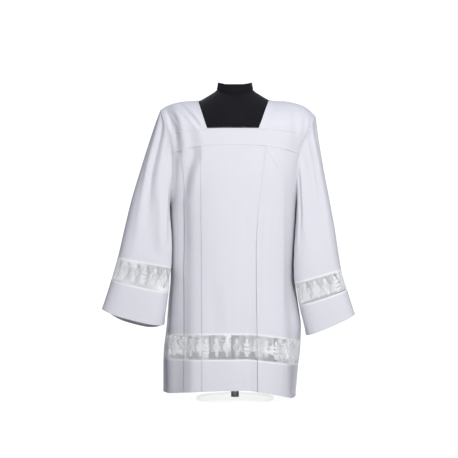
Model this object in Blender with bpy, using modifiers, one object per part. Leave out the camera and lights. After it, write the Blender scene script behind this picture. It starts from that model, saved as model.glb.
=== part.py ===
"""A pleated surplice with a square neck and lace insertions, worn by a limbless dress form on a stand.

Metres, +Z up. The origin is the centre of the stand's underside and the front faces -Y. Left and right
are those of a viewer in front, so left is towards -X. Every cloth piece is a thin wall: an open surface
with a Solidify modifier.
"""

import math
from typing import NamedTuple

import bmesh
import bpy
from mathutils import Vector

WALL = 0.0012
SEAM_GAP = 0.0003
LAYER = 0.0024
FOLD_LEAD = 0.004

FRONT = -1
BACK = 1
LEFT = -1
RIGHT = 1
FACE_NAMES = {FRONT: "front", BACK: "back"}
SIDE_NAMES = {LEFT: "left", RIGHT: "right"}


# ---------------------------------------------------------------------------------------------------
# Garment tables. Heights are above the floor, x is measured from the form's axis.
# ---------------------------------------------------------------------------------------------------


class Section(NamedTuple):
    """A horizontal section through the garment's body, a superellipse of unlike halves."""

    height: float
    left: float
    right: float
    front: float
    back: float
    squareness: float


SECTIONS = (
    Section(height=0.000, left=0.232, right=0.195, front=0.152, back=0.148, squareness=2.5),
    Section(height=0.050, left=0.232, right=0.199, front=0.151, back=0.147, squareness=2.5),
    Section(height=0.115, left=0.232, right=0.205, front=0.149, back=0.145, squareness=2.5),
    Section(height=0.165, left=0.230, right=0.211, front=0.147, back=0.143, squareness=2.5),
    Section(height=0.231, left=0.222, right=0.2135, front=0.144, back=0.140, squareness=2.5),
    Section(height=0.318, left=0.215, right=0.2025, front=0.141, back=0.136, squareness=2.5),
    Section(height=0.400, left=0.208, right=0.1925, front=0.139, back=0.133, squareness=2.5),
    Section(height=0.500, left=0.2075, right=0.1945, front=0.137, back=0.130, squareness=2.5),
    Section(height=0.600, left=0.2085, right=0.1975, front=0.136, back=0.128, squareness=2.6),
    Section(height=0.700, left=0.213, right=0.204, front=0.135, back=0.127, squareness=2.8),
    Section(height=0.800, left=0.224, right=0.228, front=0.131, back=0.124, squareness=3.0),
    Section(height=0.870, left=0.234, right=0.258, front=0.124, back=0.117, squareness=3.3),
    Section(height=0.920, left=0.238, right=0.262, front=0.112, back=0.107, squareness=3.4),
)


class Ridge(NamedTuple):
    """A point of the shoulder line, from the foot of the neck out to the drop of the sleeve."""

    out: float
    height: float


RIDGE = (
    Ridge(out=0.057, height=1.0070),
    Ridge(out=0.066, height=0.9990),
    Ridge(out=0.078, height=0.9915),
    Ridge(out=0.095, height=0.9810),
    Ridge(out=0.112, height=0.9715),
    Ridge(out=0.125, height=0.9685),
    Ridge(out=0.160, height=0.9670),
    Ridge(out=0.190, height=0.9620),
    Ridge(out=0.210, height=0.9560),
    Ridge(out=0.228, height=0.9480),
    Ridge(out=0.241, height=0.9380),
    Ridge(out=0.250, height=0.9300),
    Ridge(out=0.262, height=0.9170),
)
ARCH_POWER = 1.7


class Line(NamedTuple):
    """The height of a seam or edge at the centre of a face and at its two sides."""

    centre: float
    left: float
    right: float
    power: float


SEAMS = {
    FRONT: {
        "band_top": Line(centre=0.8690, left=0.8520, right=0.8520, power=2.8),
        "band_bottom": Line(centre=0.8196, left=0.7930, right=0.7910, power=2.8),
        "underarm": Line(centre=0.6350, left=0.6250, right=0.6250, power=2.0),
        "lace_top": Line(centre=0.2260, left=0.2170, right=0.1980, power=2.0),
        "lace_bottom": Line(centre=0.1380, left=0.1310, right=0.1110, power=2.0),
        "hem": Line(centre=0.0460, left=0.0250, right=0.0090, power=2.0),
    },
    BACK: {
        "band_top": Line(centre=0.9120, left=0.8900, right=0.8880, power=2.8),
        "band_bottom": Line(centre=0.8620, left=0.8320, right=0.8300, power=2.8),
        "underarm": Line(centre=0.6350, left=0.6250, right=0.6250, power=2.0),
        "lace_top": Line(centre=0.2220, left=0.2170, right=0.1980, power=2.0),
        "lace_bottom": Line(centre=0.1340, left=0.1310, right=0.1110, power=2.0),
        "hem": Line(centre=0.0420, left=0.0250, right=0.0090, power=2.0),
    },
}

ARMHOLE_REACH = 0.084
ARMHOLE_CENTRE = {FRONT: 0.840, BACK: 0.860}


class Neck(NamedTuple):
    """The square neck's edge on one side: its x at the yoke band and at the shoulder line."""

    at_band: float
    at_ridge: float
    armhole_at_ridge: float


NECK = {
    LEFT: Neck(at_band=0.087, at_ridge=0.120, armhole_at_ridge=0.241),
    RIGHT: Neck(at_band=0.0725, at_ridge=0.1105, armhole_at_ridge=0.260),
}


class Pleat(NamedTuple):
    """A knife pleat, each value at the yoke, half way and at the hem.

    x is the place of its fold, lap the width tucked under, and deep how far behind the fold the panel
    comes out from under it.
    """

    faces: int
    x: tuple
    lap: tuple
    deep: tuple


PLEAT_TOP = 0.820
PLEAT_MIDDLE = 0.480
PLEATS = {
    FRONT: (
        Pleat(LEFT, x=(-0.1705, -0.163, -0.160), lap=(0.012, 0.006, 0.010), deep=(0.0048, 0.0060, 0.0080)),
        Pleat(LEFT, x=(-0.1095, -0.106, -0.1035), lap=(0.020, 0.020, 0.020), deep=(0.0048, 0.0070, 0.0080)),
        Pleat(LEFT, x=(0.097, 0.068, 0.072), lap=(0.012, 0.012, 0.016), deep=(0.0048, 0.0052, 0.0060)),
        Pleat(RIGHT, x=(0.1575, 0.150, 0.144), lap=(0.020, 0.020, 0.020), deep=(0.0048, 0.0130, 0.0140)),
    ),
    BACK: (
        Pleat(LEFT, x=(-0.168, -0.160, -0.158), lap=(0.016, 0.012, 0.014), deep=(0.0048, 0.0080, 0.0140)),
        Pleat(LEFT, x=(-0.106, -0.100, -0.103), lap=(0.020, 0.018, 0.020), deep=(0.0048, 0.0070, 0.0110)),
        Pleat(RIGHT, x=(0.098, 0.090, 0.085), lap=(0.020, 0.018, 0.018), deep=(0.0048, 0.0080, 0.0120)),
        Pleat(RIGHT, x=(0.158, 0.148, 0.144), lap=(0.016, 0.012, 0.014), deep=(0.0048, 0.0100, 0.0160)),
    ),
}
EMERGE_REACH = 0.034
EMERGE_SHARE = 0.25


class Dip(NamedTuple):
    """A soft hollow down the skirt: its x at the yoke and at the hem, where it starts, and its depth."""

    x_top: float
    x_hem: float
    start: float
    spread: float
    depth: float


DIPS = {
    FRONT: (Dip(x_top=-0.178, x_hem=-0.163, start=0.620, spread=0.028, depth=0.013),),
    BACK: (Dip(x_top=-0.062, x_hem=-0.050, start=0.520, spread=0.026, depth=0.005),),
}
PANEL_STEPS = (5, 2, 4, 2, 5)
BAND_STEPS = 28

ARCH_STEPS = 6
SHOULDER_STEPS = 9
UNDERARM_ROWS = 4
SKIRT_ROWS = 4
LACE_ROWS = 2
HEM_ROWS = 1
BODY_STRETCHES = (("band_bottom", "underarm", UNDERARM_ROWS), ("underarm", "lace_top", SKIRT_ROWS))


class Loop(NamedTuple):
    """A loop round a sleeve: its outer and inner points as seen from the front, and its half depth."""

    out_x: float
    out_z: float
    in_x: float
    in_z: float
    mid_y: float
    reach: float
    rounding: float


SLEEVE_LOOPS = {
    LEFT: (
        Loop(out_x=0.254, out_z=0.925, in_x=0.206, in_z=0.6, mid_y=0.0, reach=0.083, rounding=0.35),
        Loop(out_x=0.265, out_z=0.888, in_x=0.203, in_z=0.565, mid_y=-0.002, reach=0.081, rounding=0.7),
        Loop(out_x=0.284, out_z=0.812, in_x=0.200, in_z=0.525, mid_y=-0.004, reach=0.080, rounding=1.0),
        Loop(out_x=0.31, out_z=0.728, in_x=0.1955, in_z=0.49, mid_y=-0.006, reach=0.078, rounding=1.0),
        Loop(out_x=0.334, out_z=0.647, in_x=0.1945, in_z=0.462, mid_y=-0.009, reach=0.076, rounding=1.0),
        Loop(out_x=0.356, out_z=0.556, in_x=0.1945, in_z=0.446, mid_y=-0.011, reach=0.073, rounding=1.0),
        Loop(out_x=0.377, out_z=0.465, in_x=0.197, in_z=0.43, mid_y=-0.013, reach=0.071, rounding=1.0),
        Loop(out_x=0.3995, out_z=0.387, in_x=0.2125, in_z=0.3445, mid_y=-0.015, reach=0.067, rounding=1.0),
        Loop(out_x=0.4285, out_z=0.296, in_x=0.2295, in_z=0.244, mid_y=-0.018, reach=0.062, rounding=1.0),
    ),
    RIGHT: (
        Loop(out_x=0.2675, out_z=0.902, in_x=0.195, in_z=0.6, mid_y=0.0, reach=0.083, rounding=0.35),
        Loop(out_x=0.2705, out_z=0.862, in_x=0.191, in_z=0.562, mid_y=-0.002, reach=0.081, rounding=0.7),
        Loop(out_x=0.2765, out_z=0.8, in_x=0.1875, in_z=0.522, mid_y=-0.004, reach=0.080, rounding=1.0),
        Loop(out_x=0.2895, out_z=0.725, in_x=0.183, in_z=0.487, mid_y=-0.006, reach=0.078, rounding=1.0),
        Loop(out_x=0.305, out_z=0.645, in_x=0.181, in_z=0.457, mid_y=-0.009, reach=0.075, rounding=1.0),
        Loop(out_x=0.322, out_z=0.55, in_x=0.180, in_z=0.425, mid_y=-0.013, reach=0.071, rounding=1.0),
        Loop(out_x=0.3415, out_z=0.426, in_x=0.184, in_z=0.38, mid_y=-0.015, reach=0.067, rounding=1.0),
        Loop(out_x=0.3625, out_z=0.354, in_x=0.207, in_z=0.302, mid_y=-0.017, reach=0.062, rounding=1.0),
        Loop(out_x=0.3855, out_z=0.279, in_x=0.2305, in_z=0.211, mid_y=-0.02, reach=0.056, rounding=1.0),
    ),
}
SLEEVE_ROWS = 7
ARMHOLE_SHIFT_TOP = 0.0006
ARMHOLE_SHIFT_UNDERARM = 0.0022
INNER_SQUARENESS = 3.0
SLEEVE_OFF = 0.0056
HANGS_BELOW = (0.640, 0.600)


class Sag(NamedTuple):
    """How far a loop's front and back hang below the straight line between its outer and inner points."""

    front: float
    back: float


CUFF_SAG = {LEFT: Sag(front=0.008, back=0.030), RIGHT: Sag(front=0.004, back=0.004)}


class Trough(NamedTuple):
    """A long soft fold down a sleeve: its angle round the loop, where it starts and ends, and its depth."""

    angle: float
    spread: float
    first_loop: float
    last_loop: float
    depth: float


TROUGHS = {
    LEFT: (
        Trough(angle=38.0, spread=16.0, first_loop=0.5, last_loop=5.5, depth=0.008),
        Trough(angle=-50.0, spread=20.0, first_loop=0.5, last_loop=6.0, depth=0.008),
    ),
    RIGHT: (
        Trough(angle=70.0, spread=18.0, first_loop=0.5, last_loop=6.0, depth=0.007),
        Trough(angle=-45.0, spread=20.0, first_loop=0.5, last_loop=5.5, depth=0.008),
    ),
}


# ---------------------------------------------------------------------------------------------------
# Form tables
# ---------------------------------------------------------------------------------------------------


class NeckRing(NamedTuple):
    """A ring round the form's neck, lower in front than at the sides."""

    side: float
    depth: float
    side_height: float
    front_height: float
    back_height: float


NECK_RINGS = (
    NeckRing(side=0.0540, depth=0.0550, side_height=1.0265, front_height=1.0125, back_height=1.0290),
    NeckRing(side=0.0552, depth=0.0560, side_height=1.0160, front_height=0.9990, back_height=1.0120),
    NeckRing(side=0.0575, depth=0.0572, side_height=1.0075, front_height=0.9870, back_height=0.9960),
)


class ShoulderRing(NamedTuple):
    """A ring on the form's shoulders, which follow the garment's shoulder line from just below."""

    side: float
    front: float
    back: float
    squareness: float


SHOULDER_RINGS = (
    ShoulderRing(side=0.0610, front=0.0595, back=0.0590, squareness=2.0),
    ShoulderRing(side=0.0680, front=0.0650, back=0.0630, squareness=2.0),
    ShoulderRing(side=0.0800, front=0.0740, back=0.0690, squareness=2.0),
    ShoulderRing(side=0.0960, front=0.0830, back=0.0760, squareness=2.1),
    ShoulderRing(side=0.1110, front=0.0900, back=0.0810, squareness=2.2),
    ShoulderRing(side=0.1190, front=0.0930, back=0.0835, squareness=2.2),
    ShoulderRing(side=0.1270, front=0.0955, back=0.0855, squareness=2.3),
    ShoulderRing(side=0.1480, front=0.1010, back=0.0890, squareness=2.4),
    ShoulderRing(side=0.1700, front=0.1065, back=0.0930, squareness=2.6),
    ShoulderRing(side=0.1900, front=0.1110, back=0.0960, squareness=2.8),
    ShoulderRing(side=0.2040, front=0.1140, back=0.0980, squareness=2.9),
    ShoulderRing(side=0.2140, front=0.1165, back=0.0995, squareness=3.0),
    ShoulderRing(side=0.2200, front=0.1180, back=0.1005, squareness=3.0),
)
SHOULDER_CLEARANCE = 0.0013
FLANK_CLEARANCE = 0.0020
FLANK_START = 0.012
CHEST_CLEARANCE = 0.0035


class TorsoRing(NamedTuple):
    """A level ring round the form's torso."""

    height: float
    side: float
    front: float
    back: float
    squareness: float


TORSO_RINGS = (
    TorsoRing(height=0.850, side=0.2140, front=0.1185, back=0.1060, squareness=3.0),
    TorsoRing(height=0.800, side=0.2050, front=0.1200, back=0.1090, squareness=2.9),
    TorsoRing(height=0.720, side=0.1880, front=0.1190, back=0.1080, squareness=2.7),
    TorsoRing(height=0.620, side=0.1720, front=0.1110, back=0.1020, squareness=2.5),
    TorsoRing(height=0.520, side=0.1640, front=0.1030, back=0.0980, squareness=2.4),
    TorsoRing(height=0.420, side=0.1650, front=0.1060, back=0.1060, squareness=2.4),
    TorsoRing(height=0.340, side=0.1660, front=0.1090, back=0.1110, squareness=2.4),
    TorsoRing(height=0.300, side=0.1600, front=0.1030, back=0.1050, squareness=2.4),
    TorsoRing(height=0.290, side=0.1480, front=0.0920, back=0.0940, squareness=2.3),
)
FORM_SIDES = 36
COLLAR_WALL = 0.0014

BASE_RADIUS = 0.125
BASE_HEIGHT = 0.008
BASE_ROUNDING = 0.002
POLE_RADIUS = 0.0125


# ---------------------------------------------------------------------------------------------------
# Interpolation
# ---------------------------------------------------------------------------------------------------


def smooth_value(places, values, at):
    """The value at a place on the smooth curve through rising places, with no overshoot between them."""
    if at <= places[0]:
        return values[0]
    if at >= places[-1]:
        return values[-1]
    steps = [(values[i + 1] - values[i]) / (places[i + 1] - places[i]) for i in range(len(places) - 1)]
    slopes = [steps[0]]
    for before, after in zip(steps, steps[1:]):
        slopes.append(2 * before * after / (before + after) if before * after > 0 else 0.0)
    slopes.append(steps[-1])
    i = next(n for n in range(len(steps)) if at <= places[n + 1])
    span = places[i + 1] - places[i]
    t = (at - places[i]) / span
    return (
        values[i] * (2 * t**3 - 3 * t**2 + 1)
        + values[i + 1] * (3 * t**2 - 2 * t**3)
        + span * slopes[i] * (t**3 - 2 * t**2 + t)
        + span * slopes[i + 1] * (t**3 - t**2)
    )


def blend(start, end, share):
    return start + (end - start) * share


def section_value(column, height):
    return smooth_value([row.height for row in SECTIONS], [getattr(row, column) for row in SECTIONS], height)


def ridge_height(out):
    return smooth_value([row.out for row in RIDGE], [row.height for row in RIDGE], abs(out))


# ---------------------------------------------------------------------------------------------------
# The garment's body surface
# ---------------------------------------------------------------------------------------------------


def half_width(side, height):
    return section_value(SIDE_NAMES[side], height)


def depth_at(face, x, height):
    """How far the body's surface stands from the plane of the shoulders at x."""
    power = section_value("squareness", height)
    share = min(1.0, abs(x) / half_width(RIGHT if x > 0 else LEFT, height))
    return section_value(FACE_NAMES[face], height) * (1 - share**power) ** (1 / power)


def body_point(face, x, height, inwards):
    """A point of the body's wall, moved inwards along the section's normal."""
    side = RIGHT if x > 0 else LEFT
    width = half_width(side, height)
    full = section_value(FACE_NAMES[face], height)
    power = section_value("squareness", height)
    depth = max(depth_at(face, x, height), SEAM_GAP / 2)
    slope_x = (abs(x) / width) ** (power - 1) / width
    slope_y = (depth / full) ** (power - 1) / full
    length = math.hypot(slope_x, slope_y)
    y = face * (depth - inwards * slope_y / length)
    return Vector((x - side * inwards * slope_x / length, y, height))


def seam_height(line, share):
    """The height of a seam at a share of the way from the centre to the left (-1) or right (+1) side."""
    end = line.left if share < 0 else line.right
    return blend(line.centre, end, abs(share) ** line.power)


def armhole_depth(face, height):
    """How far in front of or behind the shoulder plane the armhole's edge runs, below the shoulder."""
    centre = ARMHOLE_CENTRE[face]
    if height >= centre:
        return ARMHOLE_REACH
    fall = (centre - height) / (centre - SEAMS[face]["underarm"].left)
    return ARMHOLE_REACH * math.sqrt(max(0.0, 1 - fall**2))


def side_end(face, side, height):
    """The x where a face ends at one side: at the armhole's edge, or below it at the side seam."""
    width = half_width(side, height)
    depth = max(armhole_depth(face, height), SEAM_GAP / 2) if height > SEAMS[face]["underarm"].left else 0.0
    power = section_value("squareness", height)
    return side * width * (1 - (depth / section_value(FACE_NAMES[face], height)) ** power) ** (1 / power)


def row_height(face, upper, lower, drop, share):
    return blend(seam_height(SEAMS[face][upper], share), seam_height(SEAMS[face][lower], share), drop)


def pleat_value(values, height):
    return smooth_value((SEAMS[FRONT]["hem"].centre, PLEAT_MIDDLE, PLEAT_TOP), values[::-1], height)


def dip_depth(face, x, height):
    depth = 0.0
    for dip in DIPS[face]:
        down = (dip.start - height) / (dip.start - SEAMS[face]["hem"].centre)
        if down > 0:
            off = (x - blend(dip.x_top, dip.x_hem, down)) / dip.spread
            depth += dip.depth * math.sin(math.pi / 2 * min(1.0, down)) * math.exp(-(off**2))
    return depth


def pleat_corners(pleat, height):
    """The (x, inwards) corners of one pleat's three layers, in the order of rising x."""
    fold = pleat_value(pleat.x, height)
    tucked = fold - pleat.faces * pleat_value(pleat.lap, height)
    deep = pleat_value(pleat.deep, height)
    corners = [
        (tucked, 0.0),
        (fold, 0.0),
        (fold, LAYER),
        (tucked, LAYER),
        (tucked, 2 * LAYER),
        (fold, deep),
        (fold + pleat.faces * FOLD_LEAD, deep),
        (fold + pleat.faces * EMERGE_REACH, deep * EMERGE_SHARE),
    ]
    return corners if pleat.faces == RIGHT else corners[::-1]


def panel_points(start, end, steps, width_left, width_right):
    """Points between two (x, inwards) corners, spaced by angle so that they crowd where the side turns."""

    def angle(x):
        return math.asin(max(-1.0, min(1.0, x / (width_right if x > 0 else width_left))))

    first, last = angle(start[0]), angle(end[0])
    points = []
    for step in range(1, steps):
        turn = blend(first, last, step / steps)
        x = math.sin(turn) * (width_right if turn > 0 else width_left)
        points.append((x, blend(start[1], end[1], step / steps)))
    return points


def row_stations(face, height, left_end, right_end, pleated):
    """All (x, inwards) stations of one row from the left side to the right."""
    widths = (half_width(LEFT, height), half_width(RIGHT, height))
    groups = [[(left_end, 0.0)]]
    if pleated:
        groups += [pleat_corners(pleat, height) for pleat in PLEATS[face]]
    groups.append([(right_end, 0.0)])
    steps = PANEL_STEPS if pleated else (BAND_STEPS,)
    stations = list(groups[0])
    for count, group in zip(steps, groups[1:]):
        stations += panel_points(stations[-1], group[0], count, *widths)
        stations += group
    return stations


def body_row(face, upper, lower, drop, lift=0.0, pleated=True):
    """One row of a body piece, a share `drop` of the way from its upper to its lower seam."""
    ends = {}
    for side in (LEFT, RIGHT):
        height = row_height(face, upper, lower, drop, side)
        ends[side] = side_end(face, side, height)
    middle = row_height(face, upper, lower, drop, 0)
    points = []
    for x, inwards in row_stations(face, middle, ends[LEFT], ends[RIGHT], pleated):
        share = max(-1.0, min(1.0, x / abs(ends[RIGHT if x > 0 else LEFT])))
        height = row_height(face, upper, lower, drop, share)
        points.append(body_point(face, x, height + lift, inwards + dip_depth(face, x, height)))
    return points


def body_rows(face, stretches, pleated=True):
    """Rows down a piece of stretches (upper seam, lower seam, count), 0.15 mm short of its end seams."""
    rows = [body_row(face, stretches[0][0], stretches[0][1], 0.0, -SEAM_GAP / 2, pleated)]
    for upper, lower, count in stretches:
        rows += [body_row(face, upper, lower, n / count, 0.0, pleated) for n in range(1, count + 1)]
    upper, lower, count = stretches[-1]
    rows[-1] = body_row(face, upper, lower, 1.0, SEAM_GAP / 2, pleated)
    return rows


# ---------------------------------------------------------------------------------------------------
# The shoulders
# ---------------------------------------------------------------------------------------------------


def arch_point(face, x, start_depth, start_height, top_height, rise):
    """A point of the arch from the band's top edge over the shoulder; rise is 0 at the band and 1 on top."""
    turn = rise * math.pi / 2
    across = max(0.0, math.cos(turn)) ** (2 / ARCH_POWER)
    up = math.sin(turn) ** (2 / ARCH_POWER)
    return Vector((x, face * start_depth * across, blend(start_height, top_height, up)))


def shoulder_column(face, side, share):
    """The arch points of one column of a shoulder piece; share is 0 at the neck and 1 at the armhole."""
    line = SEAMS[face]["band_top"]
    end_height = seam_height(line, side)
    at_armhole = side_end(face, side, end_height)
    at_band = blend(side * NECK[side].at_band, at_armhole, share)
    at_ridge = side * blend(NECK[side].at_ridge, NECK[side].armhole_at_ridge, share)
    height = seam_height(line, at_band / abs(at_armhole))
    depth = depth_at(face, at_band, height)
    column = []
    for step in range(ARCH_STEPS + 1):
        rise = step / ARCH_STEPS
        x = blend(at_band, at_ridge, math.sin(rise * math.pi / 2))
        column.append(arch_point(face, x, depth, height + SEAM_GAP / 2, ridge_height(x), rise))
    return column


def shoulder_rows(side):
    """Rows from the front band over the shoulder line to the back band."""
    shares = [n / SHOULDER_STEPS for n in range(SHOULDER_STEPS + 1)]
    columns = []
    for share in shares:
        front = shoulder_column(FRONT, side, share)
        back = shoulder_column(BACK, side, share)
        columns.append(front + back[-2::-1])
    return [list(row) for row in zip(*columns)]


# ---------------------------------------------------------------------------------------------------
# The sleeves
# ---------------------------------------------------------------------------------------------------


def armhole_side(face, side):
    """The armhole's edge on one face, from the top of the shoulder to the underarm."""
    points = shoulder_column(face, side, 1.0)[::-1]
    for upper, lower, count in (("band_top", "band_bottom", 1), ("band_bottom", "underarm", UNDERARM_ROWS)):
        for n in range(1, count + 1):
            height = row_height(face, upper, lower, n / count, side)
            points.append(body_point(face, side_end(face, side, height), height, 0.0))
    return points


def path_shares(points):
    lengths = [0.0]
    for before, after in zip(points, points[1:]):
        lengths.append(lengths[-1] + (after - before).length)
    return [length / lengths[-1] for length in lengths]


def armhole_loop(side):
    """The sleeve's first loop as (turn in degrees, point): 0 on top, 90 in front, 180 at the underarm."""
    loop = []
    for face, order in ((FRONT, 1), (BACK, -1)):
        edge = armhole_side(face, side)
        shares = path_shares(edge)
        half = []
        for share, point in zip(shares, edge):
            shift = blend(ARMHOLE_SHIFT_TOP, ARMHOLE_SHIFT_UNDERARM, share**2)
            half.append((180 * share * order, point + Vector((side * shift, 0, 0))))
        loop += half if face == FRONT else half[-2:0:-1]
    underarm = next(n for n, (turn, _) in enumerate(loop) if turn == 180)
    loop[underarm][1].y = 0.0
    return loop


def trough_depth(side, turn, row):
    depth = 0.0
    for trough in TROUGHS[side]:
        if trough.first_loop < row < trough.last_loop:
            along = (row - trough.first_loop) / (trough.last_loop - trough.first_loop)
            off = (turn - trough.angle) / trough.spread
            depth += trough.depth * math.sin(math.pi * along) * math.exp(-(off**2))
    return depth


def round_loop_point(side, loop, turn, sag, deep):
    """A point on an oval loop that stands across the sleeve, pressed in by `deep`."""
    angle = math.radians(turn)
    outer = Vector((side * loop.out_x, loop.mid_y, loop.out_z))
    inner = Vector((side * loop.in_x, loop.mid_y, loop.in_z))
    squareness = INNER_SQUARENESS if math.cos(angle) < 0 else 2.0
    across, along = oval(angle, 1.0, 1.0, squareness)
    offset = (outer - inner) / 2 * across + Vector((0, -loop.reach * along, 0))
    offset -= offset.normalized() * deep
    hang = sag.front if turn > 0 else sag.back
    return (outer + inner) / 2 + offset - Vector((0, 0, hang * math.sin(angle) ** 2))


def hung_beside(side, point):
    """The point moved out, where it would touch the body, to hang just beside the body's side."""
    share = min(1.0, max(0.0, (HANGS_BELOW[0] - point.z) / (HANGS_BELOW[0] - HANGS_BELOW[1])))
    power = section_value("squareness", point.z)
    full = section_value(FACE_NAMES[FRONT if point.y < 0 else BACK], point.z)
    reach = half_width(side, point.z) * (1 - min(1.0, abs(point.y) / full) ** power) ** (1 / power)
    out = max(side * point.x, reach + SLEEVE_OFF)
    return Vector((blend(point.x, side * out, share), point.y, point.z))


def sleeve_loop(side, row):
    """The points of one of the sleeve's loops; row 0 is the armhole and the last row is the cuff."""
    first = armhole_loop(side)
    if row == 0:
        return [point for _, point in first]
    loops = SLEEVE_LOOPS[side]
    share = max(0.0, (row - SLEEVE_ROWS + 1) / (len(loops) - SLEEVE_ROWS + 1))
    sag = Sag(CUFF_SAG[side].front * share, CUFF_SAG[side].back * share)
    loop = loops[row - 1]
    start = first[0][1].lerp(first[len(first) // 2][1], 0.5)
    points = []
    for turn, point in first:
        place = round_loop_point(side, loop, turn, sag, trough_depth(side, turn, row))
        centre = Vector((side * (loop.out_x + loop.in_x) / 2, loop.mid_y, (loop.out_z + loop.in_z) / 2))
        points.append(hung_beside(side, (point - start + centre).lerp(place, loop.rounding)))
    return points


def shortened(rows, first, last):
    """The same rows with the first and last moved 0.15 mm along the cloth, to leave the seam's gap."""
    rows = [list(row) for row in rows]
    if first:
        rows[0] = [a + (b - a).normalized() * SEAM_GAP / 2 for a, b in zip(rows[0], rows[1])]
    if last:
        rows[-1] = [a + (b - a).normalized() * SEAM_GAP / 2 for a, b in zip(rows[-1], rows[-2])]
    return rows


# ---------------------------------------------------------------------------------------------------
# Mesh making
# ---------------------------------------------------------------------------------------------------


def make_material(name, color, roughness, sheen=0.0):
    material = bpy.data.materials.new(name)
    material.use_nodes = True
    shader = material.node_tree.nodes["Principled BSDF"]
    shader.inputs["Base Color"].default_value = (*color, 1.0)
    shader.inputs["Roughness"].default_value = roughness
    shader.inputs["Metallic"].default_value = 0.0
    shader.inputs["Sheen Weight"].default_value = sheen
    material.diffuse_color = (*color, 1.0)
    return material


def add_object(name, mesh, material, collection):
    mesh.materials.append(material)
    for polygon in mesh.polygons:
        polygon.use_smooth = True
    mesh.set_sharp_from_angle(angle=math.radians(40))
    obj = bpy.data.objects.new(name, mesh)
    collection.objects.link(obj)
    return obj


def loft_mesh(name, rows, closed, capped=False):
    """A surface through rows of points, each row an open line or a closed loop."""
    mesh = bpy.data.meshes.new(name)
    builder = bmesh.new()
    lines = [[builder.verts.new(point) for point in row] for row in rows]
    for upper, lower in zip(lines, lines[1:]):
        count = len(upper) if closed else len(upper) - 1
        for n in range(count):
            after = (n + 1) % len(upper)
            builder.faces.new((upper[n], lower[n], lower[after], upper[after]))
    if capped:
        builder.faces.new(lines[0])
        builder.faces.new(lines[-1][::-1])
    builder.to_mesh(mesh)
    builder.free()
    return mesh


def add_wall(name, rows, closed, outwards, material, collection, thickness=WALL):
    """A cloth wall centred on the rows' surface; outwards tells whether the rows already face out."""
    mesh = loft_mesh(name, rows if outwards else [row[::-1] for row in rows], closed)
    wall = add_object(name, mesh, material, collection)
    solidify = wall.modifiers.new("Wall", "SOLIDIFY")
    solidify.thickness = thickness
    solidify.offset = 0.0
    solidify.use_even_offset = True
    solidify.use_quality_normals = True
    solidify.use_rim = True
    return wall


# ---------------------------------------------------------------------------------------------------
# Pieces
# ---------------------------------------------------------------------------------------------------


def add_body_pieces(face, materials, collection):
    name = FACE_NAMES[face]
    outwards = face == FRONT
    cloth, lace = materials["cloth"], materials["lace"]
    pieces = (
        (f"yoke_band_{name}", cloth, False, (("band_top", "band_bottom", 1),)),
        (f"{name}_body", cloth, True, BODY_STRETCHES),
        (f"hem_lace_{name}", lace, True, (("lace_top", "lace_bottom", LACE_ROWS),)),
        (f"hem_border_{name}", cloth, True, (("lace_bottom", "hem", HEM_ROWS),)),
    )
    for piece, material, pleated, stretches in pieces:
        add_wall(piece, body_rows(face, stretches, pleated), False, outwards, material, collection)


def add_shoulder(side, material, collection):
    rows = shoulder_rows(side)
    add_wall(f"shoulder_{SIDE_NAMES[side]}", rows, False, side == LEFT, material, collection)


def add_sleeve_pieces(side, materials, collection):
    name = SIDE_NAMES[side]
    rows = [sleeve_loop(side, row) for row in range(len(SLEEVE_LOOPS[side]) + 1)]
    outwards = side == RIGHT
    cloth, lace = materials["cloth"], materials["lace"]
    lace_end = SLEEVE_ROWS + 1
    tube = shortened(rows[: SLEEVE_ROWS + 1], False, True)
    insertion = shortened(rows[SLEEVE_ROWS : lace_end + 1], True, True)
    cuff = shortened(rows[lace_end:], True, False)
    add_wall(f"sleeve_{name}", tube, True, outwards, cloth, collection)
    add_wall(f"sleeve_lace_{name}", insertion, True, outwards, lace, collection)
    add_wall(f"cuff_{name}", cuff, True, outwards, cloth, collection)


def oval(turn, side, depth, squareness):
    """A point of a superellipse at an angle; 0 is towards +X and 90 degrees towards the back."""
    across = math.copysign(abs(math.cos(turn)) ** (2 / squareness), math.cos(turn))
    along = math.copysign(abs(math.sin(turn)) ** (2 / squareness), math.sin(turn))
    return side * across, depth * along


def form_turns():
    return [2 * math.pi * n / FORM_SIDES for n in range(FORM_SIDES)]


def neck_ring_points(ring, proud=0.0, lift=0.0):
    points = []
    for turn in form_turns():
        x, y = oval(turn, ring.side + proud, ring.depth + proud, 2.0)
        end = ring.back_height if math.sin(turn) > 0 else ring.front_height
        points.append(Vector((x, y, blend(ring.side_height, end, math.sin(turn) ** 2) + lift)))
    return points


def form_shoulder_height(x, y):
    """The height of the form's shoulder at (x, y), just below the garment's arch on either side."""
    face = FRONT if y < 0 else BACK
    line = SEAMS[face]["band_top"]
    out = abs(x)
    depth = min(depth_at(face, -out, line.centre), depth_at(face, out, line.centre)) - CHEST_CLEARANCE
    start = min(
        seam_height(line, -min(1.0, out / half_width(LEFT, line.centre))),
        seam_height(line, min(1.0, out / half_width(RIGHT, line.centre))),
    )
    up = (1 - min(1.0, abs(y) / depth) ** ARCH_POWER) ** (1 / ARCH_POWER)
    flank = FLANK_CLEARANCE * min(1.0, abs(y) / FLANK_START)
    return blend(start, ridge_height(out) - SHOULDER_CLEARANCE, up) - flank


def add_form_torso(material, collection):
    rings = [neck_ring_points(ring) for ring in NECK_RINGS]
    for ring in SHOULDER_RINGS:
        points = []
        for turn in form_turns():
            x, y = oval(turn, ring.side, ring.back if math.sin(turn) > 0 else ring.front, ring.squareness)
            points.append(Vector((x, y, form_shoulder_height(x, y))))
        rings.append(points)
    for ring in TORSO_RINGS:
        points = []
        for turn in form_turns():
            x, y = oval(turn, ring.side, ring.back if math.sin(turn) > 0 else ring.front, ring.squareness)
            points.append(Vector((x, y, ring.height)))
        rings.append(points)
    add_object("form_torso", loft_mesh("form_torso", rings, True, capped=True), material, collection)


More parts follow.
